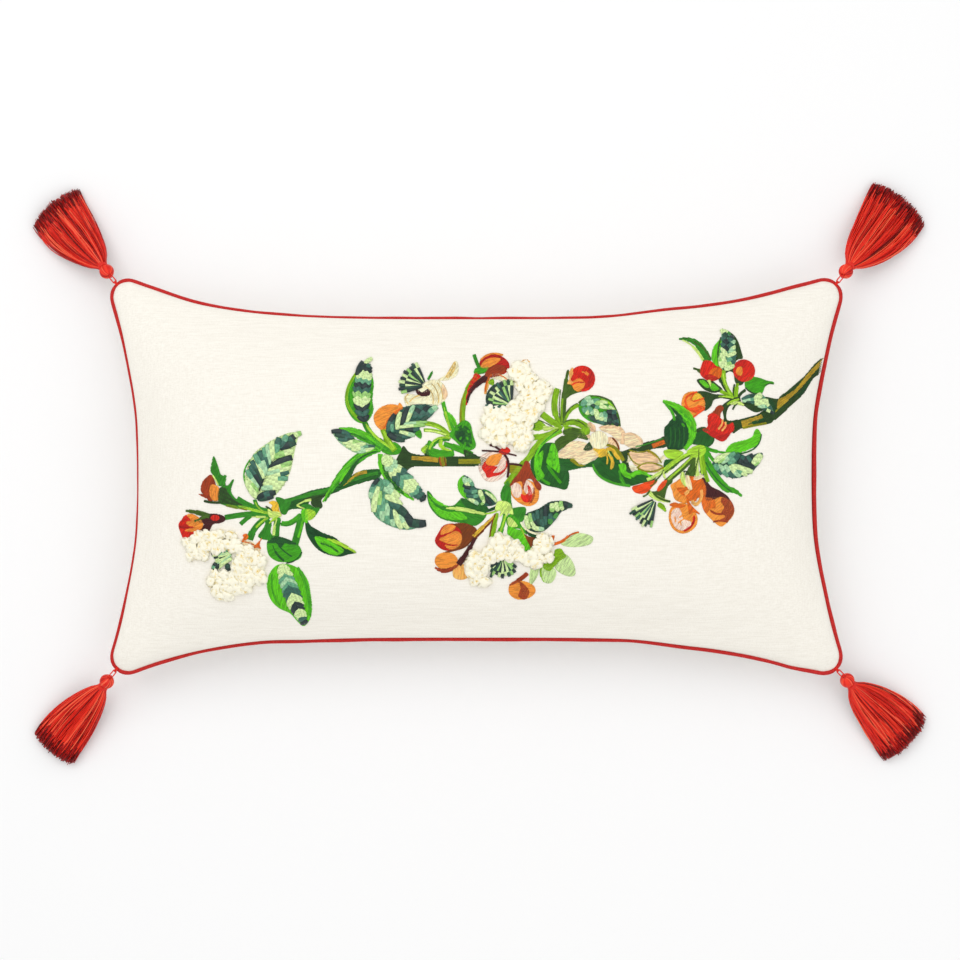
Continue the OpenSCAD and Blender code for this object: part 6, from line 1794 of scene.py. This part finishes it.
# Rust bud with a tall green sepal
blob(ORANGE, "rust", [(-238, 1), (-243, -1), (-247, -6), (-248, -13), (-244, -18), (-240, -22.5),
                      (-236, -20), (-234, -10)], 70, 1)
blob(ORANGE, "orange", [(-239, -8), (-234, -8), (-231, -12), (-232, -21), (-237, -21.5), (-240, -16)], 80, 2)
blob(CALYX, "green", [(-236, 18), (-238, 12), (-239, 5), (-236, 0), (-232, -8), (-226, -8), (-223, -8),
                      (-219, -3), (-218, -3.5), (-220, -9), (-220, -15), (-214, -22), (-206, -27),
                      (-215, -29), (-226, -26), (-232, -22), (-229, -8), (-226, -1), (-230, 2), (-232, 8)],
     70, 2)
strip(CALYX, "green", (-228, -8), (-227, -3), (-225.5, 1), 4.5, 2, layer=3)
blob(CALYX, "bark", [(-230, -10), (-225, -11), (-222, -16), (-216, -22), (-210, -26), (-222, -25),
                     (-231, -23.5), (-232, -16)], 60, 3)
strip(CALYX, "bark", (-245, -22), (-240, -24), (-230, -23.5), 1.8, 2, layer=3)
strip(CALYX, "rust", (-250, -16), (-246, -17), (-243, -19), 1, 1.8, layer=2)
strip(CALYX, "pale", (-237, 1), (-233.5, -4), (-232, -8), 1.1, 1.1, layer=4)

# Red bud at the far left
blob(RED, "red", [(-262, -35), (-266, -39), (-269, -44), (-267, -51), (-264, -57), (-261, -55), (-257, -56),
                  (-253, -52), (-248, -51), (-249, -44), (-253, -37)], 60, 1)
blob(RED, "orange", [(-261, -35), (-256, -34), (-249, -38), (-246, -43), (-249, -50), (-255, -50),
                     (-263, -49), (-258, -46), (-262, -42), (-258, -39)], 30, 2)
strip(RED, "crimson", (-268, -45), (-262, -46), (-254, -46), 3, 0.8, 1, layer=3)
strip(RED, "red", (-266, -41), (-261, -39), (-257, -40), 2, 0.8, layer=3)
blob(CALYX, "maroon", [(-249, -37), (-241, -34), (-233, -34), (-227, -36), (-226, -39.5), (-231, -42),
                       (-237, -43), (-240, -48), (-242, -50), (-247, -50), (-249, -48), (-245, -43),
                       (-251, -41)], 0, 2)
oval(CALYX, "red", (-235, -37.3), 4, 2.8, 0, 90, 3)
strip(CALYX, "moss", (-262, -31), (-250, -32), (-240, -36), 1.6, 4, 1, layer=3)
strip(CALYX, "moss", (-254, -40.5), (-248, -38), (-241, -35), 1.6, 3, layer=3)

# Flower below the far left, with brown sepals
ruffles(BLOSSOM, [(-262, -61), (-256, -56), (-248, -52), (-238, -49), (-228, -48), (-219, -51), (-214, -60),
                  (-218, -68), (-232, -68), (-241, -71), (-250, -74), (-259, -73)])
ruffles(BLOSSOM, [(-213, -60), (-203, -64), (-196, -73), (-192, -84), (-191, -95), (-203, -101),
                  (-216, -104), (-226, -110), (-234, -109), (-240, -100), (-241, -90), (-234, -86),
                  (-220, -84), (-217, -74)])
strip(PETAL, "peach", (-210, -59), (-202, -62), (-196, -68), 3, 6, 3, layer=1)
strip(PETAL, "peach", (-198, -66), (-196, -72), (-196, -80), 5, 4, layer=1)
blob(CALYX, "amber", [(-210, -53), (-207, -51.5), (-205, -54), (-207, -57), (-211, -58), (-209, -55)], 60, 2)
blob(CALYX, "amber", [(-192.5, -54.5), (-195, -58), (-199, -62), (-202, -65), (-197, -64), (-194, -65),
                      (-195, -61)], 60, 2)
strip(CALYX, "amber", (-211, -58.5), (-205, -59), (-199, -62), 0.9, 0.9, layer=2)
ribbon_fan(TUFT, ["frost", "mint", "frost", "ink", "frost"], (-219, -69), (-237, -76), 40, 7, 2.2)
for colours, line, width in [(("jade", "teal", "ink"), [(-224, -67), (-232, -68), (-239, -70)], 4), (("ink",
        "jade", "ink"), [(-234, -78), (-237, -81), (-237, -86)], 5), (("ink", "frost"), [(-231, -79),
        (-235, -83), (-239, -84)], 4.5), (("pine", "ink"), [(-223, -79), (-226, -83), (-222, -85)], 5),
        (("frost", "frost"), [(-220, -74), (-227, -76), (-233, -83)], 4)]:
    ribbon(TUFT, colours, line, width, 2.4, layer=3)

# Mottled leaf and curled leaf below the hub
blob(LEAF, "leaf", [(-188, -59), (-183, -55), (-175, -55), (-166, -58), (-159, -63), (-157, -70),
                    (-161, -75), (-171, -77), (-180, -76), (-187, -70)], 20, 1)
blob(LEAF, "deep", [(-188, -60), (-183, -55), (-176, -54.5), (-167, -57.5), (-161, -61), (-168, -61),
                    (-172, -60), (-176, -64), (-180, -60)], 0, 2)
strip(LEAF, "deep", (-183, -62), (-181, -70), (-173, -76), 1, 2, layer=2)
strip(LEAF, "deep", (-178, -62), (-173, -68), (-166, -72), 1, 1, layer=2)
strip(LEAF, "deep", (-171, -78), (-161, -77), (-157, -68), 1, 1, layer=2)
strip(LEAF, "leaf", (-175, -42), (-168, -45), (-158, -35), 4.4, 4, layer=1)
strip(LEAF, "green", (-176, -42), (-170, -47), (-161, -40), 1.4, 1.4, layer=2)
strip(LEAF, "green", (-156, -34), (-160, -50), (-164, -64), 6, 6.4, layer=1)
strip(LEAF, "bright", (-155, -36), (-157, -46), (-160, -55), 2, 2, layer=2)
blob(LEAF, "lime", [(-153, -30), (-147, -30), (-144, -33), (-147, -38), (-153, -39)], 30, 2)
blob(LEAF, "bright", [(-157, -31), (-153, -29), (-151, -34), (-152, -42), (-156, -38)], 60, 2)
blob(LEAF, "deep", [(-153, -38), (-148, -45), (-137, -51), (-127, -55), (-120, -61), (-108, -68),
                    (-115, -70), (-123, -72), (-134, -70), (-143, -65), (-150, -56), (-153, -48)], -30, 1)
blob(LEAF, "bright", [(-145, -54), (-134, -56), (-124, -62), (-119, -67), (-126, -71), (-134, -68.5),
                      (-141, -63)], -30, 2)
strip(LEAF, "lime", (-134, -56), (-125, -58), (-108, -68.5), 1, 1, 2, layer=3)
strip(LEAF, "dark", (-140, -60), (-132, -61), (-124, -68), 1, 1.4, layer=3)

# Long ribbon leaf below it
blob(LEAF, "bright", [(-181, -81), (-174, -79), (-166, -80), (-158, -85), (-152, -94), (-150, -105),
                      (-149, -118), (-151, -129), (-157, -136), (-163, -131), (-169, -124), (-179, -119),
                      (-186, -111), (-189, -99), (-187, -89)], 80, 1)
strip(LEAF, "leaf", (-184, -88), (-187, -104), (-178, -117), 1.6, 1.6, layer=2)
strip(LEAF, "leaf", (-161, -82), (-150, -96), (-151, -126), 2.4, 2.4, 1, layer=2)
ribbon_column(RIBBON, ["frost", "frost", "jade", "mint", "jade", "teal", "teal", "frost", "frost", "ink",
                       "ink", "frost", "frost", "teal", "ink"], (-175, -79), (-170, -100), (-156, -134), 8,
              4, 8, 4, 2, 34)

# Tall leaf and curl at the top right
strip(LEAF, "green", (184, 124.5), (203, 127), (209, 104), 1.5, 7.5, 1, layer=1)
strip(LEAF, "pale", (187, 123.6), (198, 119), (205, 105), 1.2, 2.2, layer=2)
strip(LEAF, "moss", (188, 126), (204, 122), (212, 106), 0.9, 1.8, layer=2)
blob(LEAF, "bright", [(219, 98), (214, 103), (213, 109), (215, 117), (219, 122), (224, 127), (226, 118),
                      (224, 106)], 80, 1)
blob(LEAF, "bark", [(233, 104), (237, 106), (241, 107), (240, 113), (237.5, 122), (234, 128), (229, 131),
                    (230, 122), (232, 112)], 80, 1)
strip(LEAF, "bark", (219.5, 101), (217, 112), (222, 126), 1.2, 1.2, layer=2)
blob(RIBBON, "jade", [(219, 100), (224, 96.5), (231, 97), (234, 103), (235, 113), (234, 123), (230, 130),
                      (224, 132), (222, 122), (220, 110)], 80, 2)
for colours, line, width in [(("frost", "frost"), [(224, 97), (229, 98), (233, 101)], 5),
        (("frost", "spring"), [(223, 98), (220, 103), (221, 109)], 5),
        (("frost", "frost"), [(226, 99), (223, 106), (222, 112)], 5),
        (("spring", "teal"), [(226, 101), (230, 102), (234, 105)], 4),
        (("jade", "teal"), [(226, 104), (230, 106), (235, 110)], 4.4),
        (("frost", "frost"), [(227, 108), (231, 110), (235, 113)], 4.6),
        (("frost", "frost"), [(227, 109), (224, 113), (222, 117)], 4.4),
        (("mint", "frost"), [(229, 112), (232, 115), (234, 119)], 4.4),
        (("ink", "teal"), [(228, 114), (225, 118), (222, 121)], 4.6),
        (("teal", "mint"), [(229, 117), (232, 120), (234, 124)], 4.6),
        (("ink", "teal"), [(228, 120), (225, 124), (223, 127)], 5),
        (("teal", "ink"), [(229, 122), (232, 125), (232, 128)], 5),
        (("pine", "frost"), [(228, 126), (225, 130), (222.5, 134)], 4.4),
        (("frost", "grass"), [(225, 133), (228, 132), (231, 129)], 2.6)]:
    ribbon(RIBBON, colours, line, width, 1.7, layer=3)

# Flower above the middle of the branch, with its tuft
ruffles(BLOSSOM, [(32, 97), (38, 103), (45, 102), (48, 94), (56, 87), (64, 84), (68, 77), (65, 68), (62, 60),
                  (56, 53), (48, 50), (49, 40), (46, 31), (40, 25), (35, 29), (22, 32), (11, 33), (6, 40),
                  (7, 52), (11, 59), (21, 61), (30, 61), (34, 68), (36, 76), (32, 84), (30, 92)])
strip(PETAL, "cream", (14, 90), (24, 91), (31, 83), 4, 3, 2, layer=2)
strip(CALYX, "amber", (8, 76), (9, 88), (14, 92), 1.4, 1.2, layer=3)
strip(CALYX, "amber", (20, 91.5), (28, 89), (31, 82), 1, 1, layer=3)
strip(PETAL, "apricot", (8, 74), (9, 82), (12, 88), 1.4, 2, 1.5, layer=1)
blob(LEAF, "fresh", [(11, 84), (14, 87.5), (16, 86), (15, 82)], 30, 3)
blob(TUFT, "pine", [(9, 66), (9, 73), (13, 80), (20, 84), (29, 83), (32, 76), (31, 66), (21, 63), (13, 63)],
     40, 1)
ribbon_fan(TUFT, ["ink", "frost", "pine", "spring", "ink", "teal", "frost"], (31, 64.5), (14, 79), 104, 13,
           3.0)
strip(PETAL, "apricot", (41, 103), (45, 106), (48, 103), 1.5, 1, 1.5, layer=0)

for work_done in WORKS.values():
    finish_work(work_done)

# ---------------------------------------- zip

TAPE_TOP = -CLOTH_T - 0.3
TOOTH_PITCH = 1.7
SEAM_STITCH, SEAM_STITCH_STEP, SEAM_STITCH_Y = 2.4, 3.0, 8.0
COIL_R, COIL_Y = 0.85, 1.55
COIL_Z = TAPE_TOP + COIL_R


def on_zip(points):
    """Points in the zip's own frame (along, across, out of the back) to the row frame."""
    p = np.asarray(points, float)
    a = math.pi - ZIP_SLOPE
    c, s = math.cos(a), math.sin(a)
    return np.stack([p[..., 0], ZIP_Y + p[..., 1] * c - p[..., 2] * s, ZIP_Z + p[..., 1] * s + p[...,
            2] * c], -1)


def zip_coil(side):
    """A nylon filament wound into teeth that reach past the middle line, over its core cord."""
    length = ZIP_LEN - 7.5
    n = int(length / TOOTH_PITCH) * 10
    t = np.arange(n) / 10.0
    a = 2 * np.pi * t
    x = -ZIP_LEN / 2 + 3.5 + TOOTH_PITCH * (t + (0.5 if side > 0 else 0)) * (length - TOOTH_PITCH) / length
    y = side * (COIL_Y - 0.45 + 0.95 * np.cos(a))
    z = COIL_Z + 0.1 + 0.62 * np.sin(a)
    wire = tubes(on_zip(np.stack([x, y, z], -1))[None], 0.3, 5)
    core_ends = [[x_end, side * COIL_Y, COIL_Z] for x_end in (-ZIP_LEN / 2 + 3.2, ZIP_LEN / 2 - 3.7)]
    core_line = np.linspace(core_ends[0], core_ends[1], 9)
    core = tubes(on_zip(core_line)[None], 0.42, 8)
    verts, faces, _ = joined([wire, core])
    return mesh_object("zip_teeth_" + ("upper" if side > 0 else "lower"), verts, faces, [ZIP_NYLON])


def topstitching():
    """Short raised stitches with small gaps, along both sides of the zip."""
    start = np.arange(-ZIP_LEN / 2 + 0.4, ZIP_LEN / 2 - SEAM_STITCH - 0.2, SEAM_STITCH_STEP)
    t = np.linspace(0, 1, 6)
    paths = []
    for side in (-SEAM_STITCH_Y, SEAM_STITCH_Y):
        x = start[:, None] + SEAM_STITCH * t[None, :]
        z = np.broadcast_to(0.22 + 0.26 * np.sin(np.pi * t), x.shape)
        paths.append(np.stack([x, np.full_like(x, side), z], -1))
    verts, faces, _ = tubes(on_zip(np.concatenate(paths)), 0.27, 6)
    return mesh_object("zip_seam_stitches", verts, faces, [SEWING_THREAD])


place(zip_coil(1), "cushion", ["zip_coil_upper"], "zip_nylon")
place(zip_coil(-1), "cushion", ["zip_coil_lower"], "zip_nylon")
place(topstitching(), "cushion", ["zip_topstitching"], "ivory_thread")

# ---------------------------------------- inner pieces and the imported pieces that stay


def stabiliser():
    """The sheet behind the embroidery, a little below the front all over."""
    gu, gv = np.meshgrid(np.linspace(-1, 1, 97), np.linspace(-1, 1, 53))
    x, y = plan(gu, gv, 20.0)
    verts = (np.stack([x, y, front_height(x, y)], -1) - 1.6 * front_normal(x, y)).reshape(-1, 3)
    index = np.arange(len(verts)).reshape(gu.shape)
    faces = np.stack([index[:-1, :-1], index[:-1, 1:], index[1:, 1:], index[1:, :-1]], -1).reshape(-1, 4)
    obj = mesh_object("embroidery_stabiliser", verts, faces, [LINING])
    thick = obj.modifiers.new("thickness", "SOLIDIFY")
    thick.thickness = 0.4 * MM
    thick.offset = -1.0
    return obj


place(stabiliser(), "cushion", ["embroidery_backing"], "backing_cloth")

STAYS = {"insert_front_ticking": TICKING, "insert_back_ticking": TICKING, "insert_filling": FILLING,
         "zip_tape_upper": TAPE, "zip_tape_lower": TAPE, "zip_top_stop": ZIP_NYLON,
         "zip_bottom_stop": ZIP_NYLON, "zip_slider": ZIP_METAL, "zip_pull": ZIP_METAL}
for node, made in STAYS.items():
    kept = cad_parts[node]
    kept.data.materials.clear()
    kept.data.materials.append(made)
for node in ("zip_slider", "zip_pull", "zip_top_stop", "zip_bottom_stop"):
    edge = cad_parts[node].modifiers.new("edges", "BEVEL")
    edge.width = 0.22 * MM
    edge.segments = 3
    edge.angle_limit = math.radians(40)

# ---------------------------------------- floor, lights and camera


def area_light(name, place_at, size, power):
    """A soft white light that faces the cushion."""
    light = bpy.data.lights.new(name, "AREA")
    light.shape = "RECTANGLE"
    light.size, light.size_y = size
    light.energy = power
    obj = bpy.data.objects.new(name, light)
    obj.location = place_at
    obj.rotation_mode = "QUATERNION"
    obj.rotation_quaternion = (-Vector(place_at)).to_track_quat("-Z", "Y")
    bpy.context.scene.collection.objects.link(obj)


floor_mesh = bpy.data.meshes.new("floor")
floor_mesh.from_pydata([(-30, -30, 0), (30, -30, 0), (30, 30, 0), (-30, 30, 0)], [], [(0, 1, 2, 3)])
FLOOR = material("floor_white", (250, 250, 250), rough=0.9, specular=0.1)
floor_mesh.materials.append(FLOOR)
floor = bpy.data.objects.new("floor", floor_mesh)
bpy.context.scene.collection.objects.link(floor)

KEY_WATTS, FILL_WATTS, WORLD_STRENGTH = 29, 16, 0.7
area_light("key", (-0.9, 1.3, 2.6), (2.4, 2.4), KEY_WATTS)
area_light("fill", (1.3, -1.0, 2.6), (2.6, 2.6), FILL_WATTS)
world = bpy.data.worlds.new("studio")
bpy.context.scene.world = world
world.use_nodes = True
world.node_tree.nodes["Background"].inputs["Color"].default_value = (1, 1, 1, 1)
world.node_tree.nodes["Background"].inputs["Strength"].default_value = WORLD_STRENGTH

VIEW_W, VIEW_DISTANCE, SENSOR = 0.8678, 3.0, 36.0
camera = bpy.data.objects.new("camera", bpy.data.cameras.new("camera"))
camera.data.sensor_width = SENSOR
camera.data.lens = SENSOR * VIEW_DISTANCE / VIEW_W
camera.location = (0.0033, -0.0032, SEAM_Z * MM + VIEW_DISTANCE)
bpy.context.scene.collection.objects.link(camera)
bpy.context.scene.camera = camera
bpy.context.scene.view_settings.view_transform = "Standard"
